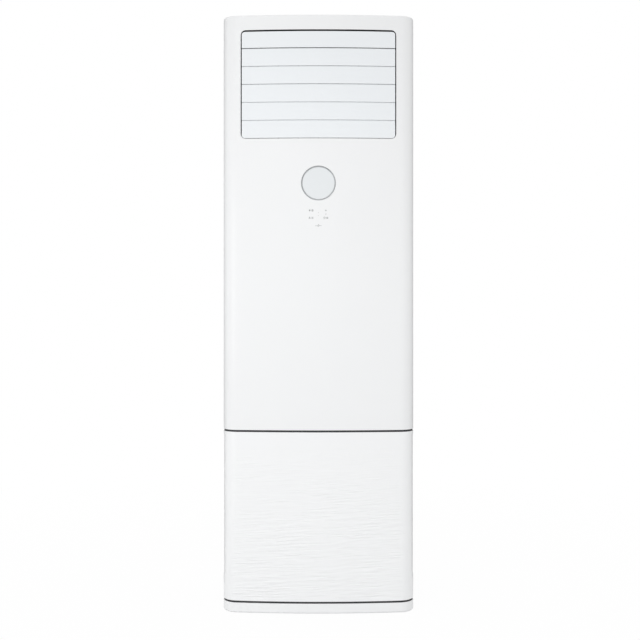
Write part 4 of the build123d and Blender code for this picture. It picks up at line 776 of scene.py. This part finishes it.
class CABINET_OT_upper_panel(Operator):
    """Model the upper front panel with its outlet and display openings."""

    bl_idname = "cabinet.upper_panel"
    bl_label = "Upper front panel"

    def execute(self, context):
        bm = bmesh.new()
        low = UPPER_LOW + RIM_RADIUS
        high = UPPER_HIGH - TOP_EDGE_RADIUS
        bare_outline(bm, rectangle(bm, (-PLAN.full, PLAN.full), (low, high)))
        opening = rectangle(bm, (-OUTLET_HALF_WIDTH, OUTLET_HALF_WIDTH), (OUTLET_LOW, OUTLET_HIGH))
        rounded = bmesh.ops.bevel(
            bm, geom=opening, offset=OUTLET_CORNER, offset_type="OFFSET", affect="VERTICES",
            segments=OUTLET_CORNER_STEPS, profile=0.5, material=-1,
        )
        bare_outline(bm, rounded["verts"])
        bmesh.ops.create_circle(
            bm, cap_ends=False, segments=DISPLAY_HOLE_SIDES, radius=DISPLAY_HOLE_RADIUS,
            matrix=Matrix.Translation((0, DISPLAY_Z, 0)),
        )
        bmesh.ops.triangle_fill(bm, use_beauty=True, use_dissolve=False, edges=bm.edges[:])
        bmesh.ops.dissolve_limit(bm, angle_limit=FLAT_ANGLE, verts=[], edges=bm.edges[:])
        divide(bm, "x", strip_lines())
        slanting = []
        for edge in bm.edges:
            start, end = edge.verts
            if not edge.is_boundary and abs(start.co.x - end.co.x) > SAME:
                slanting.append(edge)
        bmesh.ops.dissolve_edges(bm, edges=slanting, use_verts=False)
        extrude_edge(bm, edges_at(bm, high), rounded_steps(UPPER_HIGH, TOP_EDGE_RADIUS, 1))
        steps = rounded_steps(UPPER_LOW, RIM_RADIUS, -1, RIM_STEPS) + [(RETURN_DEPTH, UPPER_LOW)]
        extrude_edge(bm, edges_at(bm, low), steps)
        bend_to_plan(bm)
        top = open_edges(bm, lambda vert: vert.co.z > UPPER_HIGH - SAME)
        ends = sorted({v for e in top for v in e.verts}, key=lambda v: (-v.co.y, v.co.x))[:2]
        top.append(bm.edges.new(ends))
        bmesh.ops.edgeloop_fill(bm, edges=top)
        face_outwards(bm)
        piece = to_piece(bm, "upper_front_shell", "casing_plastic")
        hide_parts("upper_front_panel")
        give_wall(piece, PANEL_WALL)
        round_edges(piece, context.scene.casing.edge_radius)
        return {"FINISHED"}


ROW_PITCH = 0.95 * MM
STEP_WIDTH = 0.3 * MM
# The lower panel's streaks: their lean, and the heights between which they fade, thin and grow.
RIPPLE_TILT = 0.075
RIPPLE_THINNING = 0.3
RIPPLE_FULL_Z = 330 * MM
RIPPLE_NONE_Z = 505 * MM
RIPPLE_GROWTH_Z = 350 * MM
RIPPLE_DEEP_Z = 100 * MM
RIPPLE_LEAST = 0.8
RIPPLE_GROWTH = 0.65
RIPPLE_EDGE = 14 * MM
RIPPLE_SIDE_NONE = 40 * MM
RIPPLE_SIDE_FULL = 85 * MM
# The noise at which a streak starts and is at its deepest.
STREAK_START = 0.02
STREAK_FULL = 0.4
# Each wander's frequency across and up, its seed and its reach.
WANDERS = ((4, 3, 11.3, 9 * MM), (15, 30, 5.1, 3 * MM))
# Each set of streaks: its weight, its frequency along and across, its shift and its seed.
STREAK_SETS = ((1, 1, 1, 0, 7.7), (0.7, 1.5, 1.2, 40, 23.9))
# The patches that break the streaks up: frequency across and up, seed, least depth, softness.
PATCH_ACROSS, PATCH_UP, PATCH_SEED = 11, 30, 41.7
PATCH_LEAST = 0.4
PATCH_SOFT = 0.2


def smooth_step(value, start, end):
    """0 before the start, 1 after the end, and an even ease between them."""
    share = min(1.0, max(0.0, (value - start) / (end - start)))
    return share * share * (3 - 2 * share)


def streak(along, across, seed, sparse):
    """One set of streaks: 1 in a groove, -1 on a ridge, flat between them."""
    value = noise.noise(Vector((along, across, seed)))
    return math.copysign(smooth_step(abs(value) - sparse, STREAK_START, STREAK_FULL), value)


def ripple(run, level, casing):
    """Depth of the moulded streaks at a place on the lower panel."""
    wander = 0
    for across, up, seed, reach in WANDERS:
        wander += noise.noise(Vector((run * across, level * up, seed))) * reach
    height = (level - run * RIPPLE_TILT + wander) / casing.ripple_pitch
    along = run / casing.ripple_length
    sparse = RIPPLE_THINNING * smooth_step(level, RIPPLE_FULL_Z, RIPPLE_NONE_Z)
    shape = 0
    for weight, longer, closer, shift, seed in STREAK_SETS:
        shape += weight * streak(along * longer, height * closer + shift, seed, sparse)
    shape = max(-1.0, min(1.0, shape))
    patch = noise.noise(Vector((run * PATCH_ACROSS, level * PATCH_UP, PATCH_SEED)))
    broken = PATCH_LEAST + (1 - PATCH_LEAST) * smooth_step(patch, -PATCH_SOFT, PATCH_SOFT)
    sides = smooth_step(PLAN.corner_end - abs(run), RIPPLE_SIDE_NONE, RIPPLE_SIDE_FULL)
    low_end = smooth_step(level - LOWER_LOW, 0, RIPPLE_EDGE)
    high_end = smooth_step(RIPPLE_NONE_Z - level, 0, 2 * RIPPLE_EDGE)
    growth = RIPPLE_LEAST + RIPPLE_GROWTH * smooth_step(level, RIPPLE_GROWTH_Z, RIPPLE_DEEP_Z)
    fade = growth * sides * low_end * high_end
    return casing.ripple_depth * fade * (0.5 + 0.5 * shape * broken)


class CABINET_OT_lower_panel(Operator):
    """Model the lower front panel with its ripple relief and the side intakes."""

    bl_idname = "cabinet.lower_panel"
    bl_label = "Lower front panel"

    def execute(self, context):
        bm = bmesh.new()
        low = LOWER_LOW + RIM_RADIUS
        high = LOWER_HIGH - RIM_RADIUS
        rectangle(bm, (-PLAN.full, PLAN.full), (low, high))
        cut = PLAN.run_to(INTAKE_FRONT_Y)
        recess = PLAN.run_at_corner(RECESS_FRONT_Y)
        sides = [cut, recess, recess - STEP_WIDTH]
        lines = [x for x in strip_lines() if all(abs(abs(x) - side) > MM for side in sides)]
        divide(bm, "x", lines + sides + [-side for side in sides])
        rows = math.ceil((high - low) / ROW_PITCH)
        levels = [low + (high - low) * row / rows for row in range(1, rows)]
        marks = [INTAKE_LOW - STEP_WIDTH, INTAKE_LOW, INTAKE_HIGH, INTAKE_HIGH + STEP_WIDTH]
        levels = [z for z in levels if all(abs(z - mark) > STEP_WIDTH for mark in marks)]
        divide(bm, "y", levels + marks)
        open_faces = []
        for face in bm.faces:
            middle = face.calc_center_median()
            if abs(middle.x) > cut and INTAKE_LOW < middle.y < INTAKE_HIGH:
                open_faces.append(face)
        bmesh.ops.delete(bm, geom=open_faces, context="FACES")
        for vert in bm.verts:
            inside = INTAKE_LOW - SAME < vert.co.y < INTAKE_HIGH + SAME
            if abs(vert.co.x) > recess - SAME and inside:
                vert.co.z = INTAKE_RECESS
            else:
                vert.co.z = ripple(vert.co.x, vert.co.y, context.scene.casing)
        top = rounded_steps(LOWER_HIGH, RIM_RADIUS, 1, RIM_STEPS)
        extrude_edge(bm, edges_at(bm, high), top + [(RETURN_DEPTH, LOWER_HIGH)])
        bottom = rounded_steps(LOWER_LOW, RIM_RADIUS, -1, RIM_STEPS)
        extrude_edge(bm, edges_at(bm, low), bottom + [(LOWER_RETURN_DEPTH, LOWER_LOW)])
        bend_to_plan(bm)
        face_outwards(bm)
        piece = to_piece(bm, "lower_front_shell", "ripple_panel")
        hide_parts("lower_front_panel")
        give_wall(piece, PANEL_WALL)
        return {"FINISHED"}


# ---------------- shade strips in the gaps, foam and rib
SHADE_STRIP_INSET = 2 * MM
SHADE_STRIP_DEPTH = 4 * MM
SHADE_STRIP_CLEAR = 0.15 * MM
FOAM_CLEAR = 0.1 * MM
FOAM_EDGE = 0.6 * MM
PAD_DEPTH = 3 * MM
STRIP_DEPTH = 7 * MM
STRIP_LAP = 10 * MM
STRIP_END = 25 * MM
COVER_SHEET = 1.5 * MM
RIB_WIDTH = 3 * MM
RIB_CLEAR = 2 * MM
RIB_END = 1.5 * MM
RIB_EDGE = 0.4 * MM


class CABINET_OT_gap_shade_strips(Operator):
    """Lay black strips in the gaps between the panels and over the plinth: a dark sheet that stands
    in for the shade in these gaps.
    """

    bl_idname = "cabinet.gap_seals"
    bl_label = "Gap shade strips"

    def execute(self, context):
        # Black strips that stand in for the shade in the seam and over the plinth.
        gaps = (
            ("seam_seal", LOWER_HIGH, UPPER_LOW),
            ("base_seal", PLINTH_BOX[1].z, LOWER_LOW),
        )
        for name, low, high in gaps:
            bm = bmesh.new()
            rectangle(bm, (-PLAN.full, PLAN.full), (low + SHADE_STRIP_CLEAR, high - SHADE_STRIP_CLEAR))
            divide(bm, "x", strip_lines())
            for vert in bm.verts:
                vert.co.z = SHADE_STRIP_INSET
            bend_to_plan(bm)
            face_outwards(bm)
            give_wall(to_piece(bm, name, "rubber"), SHADE_STRIP_DEPTH)
        return {"FINISHED"}


def block(name, slot, low, high, edge):
    """A plain block between two corners, with soft edges."""
    low, high = Vector(low), Vector(high)
    matrix = Matrix.Translation((low + high) / 2) @ Matrix.Diagonal((*(high - low), 1))
    bm = bmesh.new()
    bmesh.ops.create_cube(bm, size=1, matrix=matrix)
    round_edges(to_piece(bm, name, slot), edge)


class CABINET_OT_back_foam(Operator):
    """Stick the foam that closes the bracket's slots and the cover's rear slit from inside."""

    bl_idname = "cabinet.back_foam"
    bl_label = "Back foam"

    def execute(self, context):
        low, high = BRACKET_BOX
        inside_y = BACK_BOX[0].y - FOAM_CLEAR
        strip_x = BACK_BOX[1].x - STRIP_END
        under_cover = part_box("top_cover")[1].z - COVER_SHEET - FOAM_CLEAR
        pads = (
            ("slot_pad", low.x, high.x, PAD_DEPTH, low.z, high.z),
            ("cover_strip", -strip_x, strip_x, STRIP_DEPTH, BACK_BOX[1].z - STRIP_LAP, under_cover),
        )
        for name, left, right, depth, foot, head in pads:
            corners = (left, inside_y - depth, foot), (right, inside_y, head)
            block(name, "rubber", *corners, FOAM_EDGE)
        return {"FINISHED"}


class CABINET_OT_panel_rib(Operator):
    """Stand the lower panel's stiffening rib between the two intakes."""

    bl_idname = "cabinet.panel_rib"
    bl_label = "Panel rib"

    def execute(self, context):
        front = FRONT_Y + PANEL_WALL + RIB_CLEAR
        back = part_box("filter_rails")[0].y - RIB_END
        half = RIB_WIDTH / 2
        corners = (-half, front, INTAKE_LOW), (half, back, INTAKE_HIGH)
        block("panel_rib", "grille_plastic", *corners, RIB_EDGE)
        return {"FINISHED"}


# ---------------- touch marks
MARK_DEPTH = 0.06 * MM
MARK_SINK = 0.03 * MM
MARK_COLUMN_X = 21.6 * MM
MARK_TOP_Z = 1178 * MM
MARK_MIDDLE_Z = 1167.3 * MM
MARK_LOW_Z = 1156.3 * MM
MARK_FOOT_Z = 1133.5 * MM
MARK_SPREAD = 4 * MM
MARK_FOOT_SPREAD = 6.5 * MM
# The marks are drawn in this unit, and their lines are this many units wide.
MARK_UNIT = 1.2 * MM
MARK_LINE = 2 / 3
RING_SIDES = 28
DISC_SIDES = 16


def stroke(bm, at, start, end):
    """A flat bar between two points of the mark's plane."""
    start, end = Vector((*start, 0)), Vector((*end, 0))
    along = end - start
    turn = Matrix.Rotation(math.atan2(along.y, along.x), 4, "Z")
    scale = Matrix.Diagonal((along.length + MARK_LINE, MARK_LINE, 1, 1))
    matrix = at @ Matrix.Translation((start + end) / 2) @ turn @ scale
    bmesh.ops.create_grid(bm, x_segments=1, y_segments=1, size=0.5, matrix=matrix)


def ring(bm, at, radius, width=MARK_LINE):
    """A flat ring: two circles, bridged."""
    edges = []
    for size in (radius - width / 2, radius + width / 2):
        made = bmesh.ops.create_circle(
            bm, cap_ends=False, segments=RING_SIDES, radius=size, matrix=at,
        )
        edges += {edge for vert in made["verts"] for edge in vert.link_edges}
    bmesh.ops.bridge_loops(bm, edges=edges)


def disc(bm, at, radius, away=0, angle=0):
    """A flat dot, this far from the mark's middle in this direction."""
    turn = math.radians(angle)
    matrix = at @ Matrix.Translation((away * math.cos(turn), away * math.sin(turn), 0))
    bmesh.ops.create_circle(bm, cap_ends=True, segments=DISC_SIDES, radius=radius, matrix=matrix)


def spokes(bm, at, inner, outer, count):
    """Bars from an inner to an outer radius, the first one straight up."""
    for step in range(count):
        turn = math.pi / 2 + 2 * math.pi * step / count
        ray = Vector((math.cos(turn), math.sin(turn)))
        stroke(bm, at, ray * inner, ray * outer)


MARKS = {
    "frost": [(spokes, 0, 2.6, 6)],
    "sun": [(ring, 1.2), (spokes, 2, 2.7, 8)],
    "fan": [(disc, 0.6)] + [(disc, 0.95, 1.6, angle) for angle in (90, 210, 330)],
    "breeze": [(stroke, (-2.2, level), (2.2, level)) for level in (-1.7, 0, 1.7)],
    "plus": [(spokes, 0, 2.1, 4)],
    "clock": [(ring, 2.3), (stroke, (0, 0), (0, 1.4)), (stroke, (0, 0), (1.1, 0))],
    "moon": [(ring, 1.7, 1.1)],
    "minus": [(stroke, (-2.1, 0), (2.1, 0))],
    "power": [(ring, 2.1), (stroke, (0, 0.6), (0, 2.9))],
    "tick": [(stroke, (0, -5 / 3), (0, 5 / 3))],
    "dots": [(disc, 7 / 12, 3.75, angle) for angle in (-90, 90)],
}


class CABINET_OT_touch_marks(Operator):
    """Print the generic touch marks under the display."""

    bl_idname = "cabinet.touch_marks"
    bl_label = "Touch marks"

    def execute(self, context):
        layout = (
            ("frost", -MARK_COLUMN_X - MARK_SPREAD, MARK_TOP_Z),
            ("sun", -MARK_COLUMN_X + MARK_SPREAD, MARK_TOP_Z),
            ("fan", -MARK_COLUMN_X - MARK_SPREAD, MARK_LOW_Z),
            ("breeze", -MARK_COLUMN_X + MARK_SPREAD, MARK_LOW_Z),
            ("plus", MARK_COLUMN_X, MARK_TOP_Z),
            ("clock", MARK_COLUMN_X - MARK_SPREAD, MARK_LOW_Z),
            ("moon", MARK_COLUMN_X + MARK_SPREAD, MARK_LOW_Z),
            ("minus", -MARK_FOOT_SPREAD, MARK_FOOT_Z),
            ("power", 0, MARK_FOOT_Z),
            ("minus", MARK_FOOT_SPREAD, MARK_FOOT_Z),
            ("tick", MARK_COLUMN_X, MARK_MIDDLE_Z),
            ("dots", 0, MARK_MIDDLE_Z),
        )
        bm = bmesh.new()
        for name, x, z in layout:
            at = Matrix.Translation((x, z, 0)) @ Matrix.Scale(MARK_UNIT, 4)
            for shape, *numbers in MARKS[name]:
                shape(bm, at, *numbers)
        for face in bm.faces:
            if face.normal.z < 0:
                face.normal_flip()
        for vert in bm.verts:
            vert.co.z = -MARK_SINK
        bend_to_plan(bm)
        piece = to_piece(bm, "touch_marks", None, finish="marks")
        give_wall(piece, MARK_DEPTH)
        return {"FINISHED"}


# ---------------- screws
SCREW_RADIUS = 3.6 * MM
SCREW_HEAD = 2 * MM
SCREW_SIDES = 16
SCREW_ROWS = 6
SCREW_EDGE = 9 * MM
# Each step of the head: how much narrower it gets, and its share of the head's height.
SCREW_STEPS = ((0, 0.55), (0.12, 0.3), (0.3, 0.15))
CROSS_BAR = (2.6 * MM, 0.6 * MM, 0.05 * MM)
CROSS_RISE = 0.02 * MM
BRACKET_SCREW_INSET = 6 * MM
BRACKET_SCREW_REACH = 11 * MM


def add_screw(bm, place, outward):
    """A pan head with a cross on it, on a surface that faces outward."""
    turn = outward.to_track_quat("Z", "Y").to_matrix().to_4x4()
    made = bmesh.ops.create_circle(
        bm, cap_ends=True, segments=SCREW_SIDES, radius=SCREW_RADIUS,
        matrix=Matrix.Translation(place) @ turn,
    )
    head = list({face for vert in made["verts"] for face in vert.link_faces})
    if head[0].normal.dot(outward) < 0:
        bmesh.ops.reverse_faces(bm, faces=head)
    for inset, rise in SCREW_STEPS:
        head = bmesh.ops.extrude_discrete_faces(bm, faces=head)["faces"]
        verts = head[0].verts
        bmesh.ops.translate(bm, verts=verts, vec=outward * SCREW_HEAD * rise)
        centre = Matrix.Translation(head[0].calc_center_median())
        shrink = centre @ Matrix.Scale(1 - inset, 4) @ centre.inverted()
        bmesh.ops.transform(bm, matrix=shrink, verts=verts)
    middle = Matrix.Translation(head[0].calc_center_median() + outward * CROSS_RISE) @ turn
    for angle in (0, math.pi / 2):
        bar = middle @ Matrix.Rotation(angle, 4, "Z") @ Matrix.Diagonal((*CROSS_BAR, 1))
        bmesh.ops.create_cube(bm, size=1, matrix=bar)


class CABINET_OT_screws(Operator):
    """Drive the screws that hold the back plate and the wall bracket."""

    bl_idname = "cabinet.screws"
    bl_label = "Screws"

    def execute(self, context):
        bm = bmesh.new()
        back = Vector((0, 1, 0))
        low, high = BACK_BOX
        for side in (-1, 1):
            for row in range(SCREW_ROWS):
                rise = (high.z - low.z - 2 * SCREW_EDGE) * row / (SCREW_ROWS - 1)
                place = (side * (high.x - SCREW_EDGE), BRACKET_BOX[0].y, low.z + SCREW_EDGE + rise)
                add_screw(bm, Vector(place), back)
        low, high = BRACKET_BOX
        for side in (-1, 1):
            for end in (-1, 1):
                x = side * (high.x - BRACKET_SCREW_INSET)
                z = (low.z + high.z) / 2 + end * BRACKET_SCREW_REACH
                add_screw(bm, Vector((x, high.y, z)), back)
        to_piece(bm, "back_screws", None, finish="steel")
        return {"FINISHED"}


# ---------------- finish of the frame's own pieces
ROUND_BARS = {"copper", "hose_plastic"}
EDGE_BY_SLOT = {
    "casing_sheet": 0.5 * MM,
    "plinth_plastic": 0.8 * MM,
    "louvre_plastic": 0.35 * MM,
    "bezel_plastic": 0.25 * MM,
    "display_lens": 0.3 * MM,
    "grille_plastic": 0.3 * MM,
    "frame_plastic": 0.3 * MM,
    "rubber": 0.3 * MM,
    "vane_plastic": 0.25 * MM,
    "galvanised": 0.25 * MM,
    "filter_mesh": 0.25 * MM,
}
JOIN_DISTANCE = 0.005 * MM
PLAIN_ANGLE = 32
ROUND_ANGLE = 50
# How far each of these louvres' upper and lower edge is drawn in.
LOUVRE_TRIMS = {
    "louvre_1": (1.4 * MM, 0.7 * MM),
    "louvre_2": (0.6 * MM, 0.1 * MM),
    "louvre_3": (0.1 * MM, 0.3 * MM),
}
TRIM_START = 15 * MM


def open_group(name):
    """The sheet of a new geometry group, and the geometry that comes in."""
    tree = bpy.data.node_groups.new(name, "GeometryNodeTree")
    for way in ("INPUT", "OUTPUT"):
        tree.interface.new_socket("Geometry", in_out=way, socket_type="NodeSocketGeometry")
    sheet = NodeSheet(tree)
    return sheet, sheet.term("NodeGroupInput")


def close_group(sheet, geometry):
    """The finished group, with this geometry going out."""
    sheet.tree.links.new(geometry.socket, sheet.node("NodeGroupOutput").inputs[0])
    return sheet.tree


def smoothing_group(sharp_angle):
    """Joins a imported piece's loose triangles and smooths them between its sharp edges."""
    sheet, source = open_group("joined and smoothed")
    joined = sheet.term("GeometryNodeMergeByDistance", geometry=source, distance=JOIN_DISTANCE)
    soft = sheet.term(
        "FunctionNodeCompare", {"data_type": "FLOAT", "operation": "LESS_THAN"},
        in_0=sheet.term("GeometryNodeInputMeshEdgeAngle"), in_1=math.radians(sharp_angle),
    )
    faces = sheet.term("GeometryNodeSetShadeSmooth", {"domain": "FACE"}, geometry=joined)
    return close_group(sheet, sheet.term(
        "GeometryNodeSetShadeSmooth", {"domain": "EDGE"}, geometry=faces, shade_smooth=soft,
    ))


def trimming_group(box, top, bottom):
    """Draws a louvre's upper and lower edge in, so that the lines between them look open."""
    sheet, source = open_group("drawn in edges")
    place = sheet.node("ShaderNodeSeparateXYZ", vector=sheet.term("GeometryNodeInputPosition"))
    rise = Term(sheet, place.outputs["Z"]) - (box[0].z + box[1].z) / 2
    reach = (box[1].z - box[0].z) / 2 - TRIM_START
    high = sheet.maths("DIVIDE", rise - TRIM_START, reach, clamp=True)
    low = sheet.maths("DIVIDE", -1 * rise - TRIM_START, reach, clamp=True)
    shift = sheet.term("ShaderNodeCombineXYZ", z=low * bottom - high * top)
    return close_group(
        sheet, sheet.term("GeometryNodeSetPosition", geometry=source, offset=shift),
    )


class CABINET_OT_dress_pieces(Operator):
    """Give every piece of the frame its finish, joined faces and soft edges."""

    bl_idname = "cabinet.dress_pieces"
    bl_label = "Finish of the pieces"

    def execute(self, context):
        plain, round_bar = smoothing_group(PLAIN_ANGLE), smoothing_group(ROUND_ANGLE)
        for entry in frame["record"]["subparts"]:
            node, slot = entry["node"], entry["material_slot"]
            piece = frame["nodes"][node]
            piece.data.materials.clear()
            piece.data.materials.append(finish_of(slot))
            if node in LOUVRE_TRIMS:
                drawn = piece.modifiers.new("drawn in edges", "NODES")
                drawn.node_group = trimming_group(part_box(node), *LOUVRE_TRIMS[node])
            joined = piece.modifiers.new("joined", "NODES")
            joined.node_group = round_bar if slot in ROUND_BARS else plain
            if slot in EDGE_BY_SLOT:
                round_edges(piece, EDGE_BY_SLOT[slot], segments=2)
        return {"FINISHED"}


# ---------------- stage
CAMERA_PLACE = (4.5 * MM, -3.29)
SENSOR_WIDTH = 36
VIEW_END = 100
VIEW_CENTRE_Z = 0.8585
VIEW_WIDTH = 1.868
FLOOR_SIZE = 40.0
FLOOR_COLOUR = (0.78, 0.78, 0.78, 1)
# The floor is this white under the cabinet, and all white this far from it.
WHITE_SHARE = 0.96
SHADOW_REACH = 2.4
FLAG_NEAR = 0.3
FLAG_FAR = 1.7
FLAG_Y = 0.15
FLAG_HEIGHT = 2.2
FLAG_DARK = (0.05, 0.05, 0.05)
FLAG_LIGHT = (0.09, 0.09, 0.09)
KEY_ANGLE = -40.0
FILL_ANGLE = 45.0
LAMP_DISTANCE = 3.6
LAMP_HEIGHT = 0.7
TALL_LAMP = (1.6, 1.5)
WIDE_LAMP = (2.4, 2.0)
REAR_PLACE = (0.5, 2.8, 3.0)
RELIEF_PLACE = (-0.5, -2.1, 2.3)
RELIEF_AIM = (0.0, -0.19, 0.2)
RELIEF_LAMP = (1.2, 0.9)
RELIEF_SPREAD = 75.0


def seen_directly(sheet, in_gloss=1.0):
    """1 for rays from the camera or through glass, and this much for a reflection's."""
    path = sheet.node("ShaderNodeLightPath")
    camera, glass, gloss = (
        Term(sheet, path.outputs[f"Is {kind} Ray"]) for kind in ("Camera", "Transmission", "Glossy")
    )
    return sheet.maths("MINIMUM", camera + glass + gloss * in_gloss, 1.0)


def flat_card(name, matrix):
    """A flat card of the studio: a face one metre square, moved by a matrix."""
    bm = bmesh.new()
    bmesh.ops.create_grid(bm, x_segments=1, y_segments=1, size=0.5, matrix=matrix)
    mesh = bpy.data.meshes.new(name)
    bm.to_mesh(mesh)
    bm.free()
    card = bpy.data.objects.new(name, mesh)
    bpy.context.scene.collection.objects.link(card)
    return card


def make_floor():
    """A pale floor that keeps the cabinet's shadow and runs out to white."""
    floor = flat_card("floor", Matrix.Diagonal((FLOOR_SIZE, FLOOR_SIZE, 1, 1)))
    f = Finish("floor")
    x, y = f.axis("X"), f.axis("Y")
    away = f.maths("SQRT", x * x + y * y)
    spread = f.maths("MINIMUM", away / SHADOW_REACH, 1.0)
    share = seen_directly(f, in_gloss=spread) * (WHITE_SHARE + spread * (1 - WHITE_SHARE))
    matt = f.term("ShaderNodeBsdfDiffuse", color=FLOOR_COLOUR)
    white = f.term("ShaderNodeEmission", strength=1.0)
    f.show(f.node("ShaderNodeMixShader", in_0=share, in_1=matt, in_2=white))
    floor.data.materials.append(f.material)


def make_flag(side):
    """A dark card beside the cabinet, for its reflections alone: it draws the moulding's edge."""
    width = FLAG_FAR - FLAG_NEAR
    centre = Matrix.Translation((side * (FLAG_NEAR + width / 2), FLAG_Y, FLAG_HEIGHT / 2))
    turn = Matrix.Rotation(math.pi / 2, 4, "X")
    flag = flat_card("flag", centre @ turn @ Matrix.Diagonal((width, FLAG_HEIGHT, 1, 1)))
    flag.visible_camera = False
    flag.visible_diffuse = False
    flag.visible_shadow = False
    flag.visible_transmission = False
    f = Finish("flag felt")
    nap = f.grain(300, detail=2)
    felt = f.close(base_color=f.shade(nap, FLAG_DARK, FLAG_LIGHT), roughness=0.95)
    flag.data.materials.append(felt)


def make_world(ambient):
    """Even light from all round, with a white background where it is seen."""
    world = bpy.data.worlds.new("studio")
    world.use_nodes = True
    bpy.context.scene.world = world
    sheet = NodeSheet(world.node_tree)
    seen = seen_directly(sheet)
    strength = ambient + seen * (1.0 - ambient)
    surround = sheet.node("ShaderNodeBackground", color=(1, 1, 1, 1), strength=strength)
    sheet.show(surround, "ShaderNodeOutputWorld")


def at_side(angle):
    """The place of a tall lamp, by its angle from straight in front."""
    turn = math.radians(angle)
    return LAMP_DISTANCE * math.sin(turn), -LAMP_DISTANCE * math.cos(turn), LAMP_HEIGHT


def make_lamp(name, place, aim, size, power):
    """A soft rectangular lamp that the camera doesn't see."""
    data = bpy.data.lights.new(name, "AREA")
    data.shape = "RECTANGLE"
    data.size, data.size_y = size
    data.energy = power
    lamp = bpy.data.objects.new(name, data)
    lamp.location = place
    lamp.rotation_euler = (Vector(aim) - Vector(place)).to_track_quat("-Z", "Y").to_euler()
    bpy.context.scene.collection.objects.link(lamp)
    lamp.visible_camera = False
    return lamp


class CABINET_OT_stage(Operator):
    """Set the floor, the studio's light and the level camera."""

    bl_idname = "cabinet.stage"
    bl_label = "Studio"

    def execute(self, context):
        studio = context.scene.studio
        make_floor()
        for side in (-1, 1):
            make_flag(side)
        make_world(studio.ambient)
        middle = (CAD_BOX[0] + CAD_BOX[1]) / 2
        make_lamp("key", at_side(KEY_ANGLE), middle, TALL_LAMP, studio.key_power)
        make_lamp("fill", at_side(FILL_ANGLE), middle, TALL_LAMP, studio.fill_power)
        make_lamp("rear", REAR_PLACE, middle, WIDE_LAMP, studio.rear_power)
        relief = make_lamp("relief", RELIEF_PLACE, RELIEF_AIM, RELIEF_LAMP, studio.relief_power)
        relief.data.spread = math.radians(RELIEF_SPREAD)
        data = bpy.data.cameras.new("view")
        data.lens = studio.lens
        data.sensor_width = SENSOR_WIDTH
        data.shift_y = (VIEW_CENTRE_Z - studio.eye_height) / VIEW_WIDTH
        data.clip_end = VIEW_END
        camera = bpy.data.objects.new("view", data)
        camera.location = (*CAMERA_PLACE, studio.eye_height)
        camera.rotation_euler = (math.pi / 2, 0, 0)
        context.scene.collection.objects.link(camera)
        context.scene.camera = camera
        context.scene.view_settings.view_transform = "Standard"
        return {"FINISHED"}


# ---------------- sidebar and run
OPERATORS = (
    CABINET_OT_stage,
    CABINET_OT_dress_pieces,
    CABINET_OT_upper_panel,
    CABINET_OT_lower_panel,
    CABINET_OT_gap_shade_strips,
    CABINET_OT_back_foam,
    CABINET_OT_panel_rib,
    CABINET_OT_touch_marks,
    CABINET_OT_screws,
)


class CABINET_PT_sidebar(Panel):
    """Lists the cabinet's settings and steps."""

    bl_idname = "CABINET_PT_sidebar"
    bl_label = "Cabinet"
    bl_space_type = "VIEW_3D"
    bl_region_type = "UI"
    bl_category = "Cabinet"

    def draw(self, context):
        for settings in (context.scene.casing, context.scene.studio):
            for name in settings.bl_rna.properties.keys():
                if name not in {"rna_type", "name"}:
                    self.layout.prop(settings, name)
        for operator in OPERATORS:
            self.layout.operator(operator.bl_idname)


CLASSES = (CasingSettings, StudioSettings, *OPERATORS, CABINET_PT_sidebar)


def register():
    for cls in CLASSES:
        bpy.utils.register_class(cls)
    bpy.types.Scene.casing = PointerProperty(type=CasingSettings)
    bpy.types.Scene.studio = PointerProperty(type=StudioSettings)


def unregister():
    del bpy.types.Scene.studio
    del bpy.types.Scene.casing
    for cls in reversed(CLASSES):
        bpy.utils.unregister_class(cls)


def main():
    register()
    for operator in OPERATORS:
        group, name = operator.bl_idname.split(".")
        getattr(getattr(bpy.ops, group), name)()


if __name__ == "__main__":
    main()
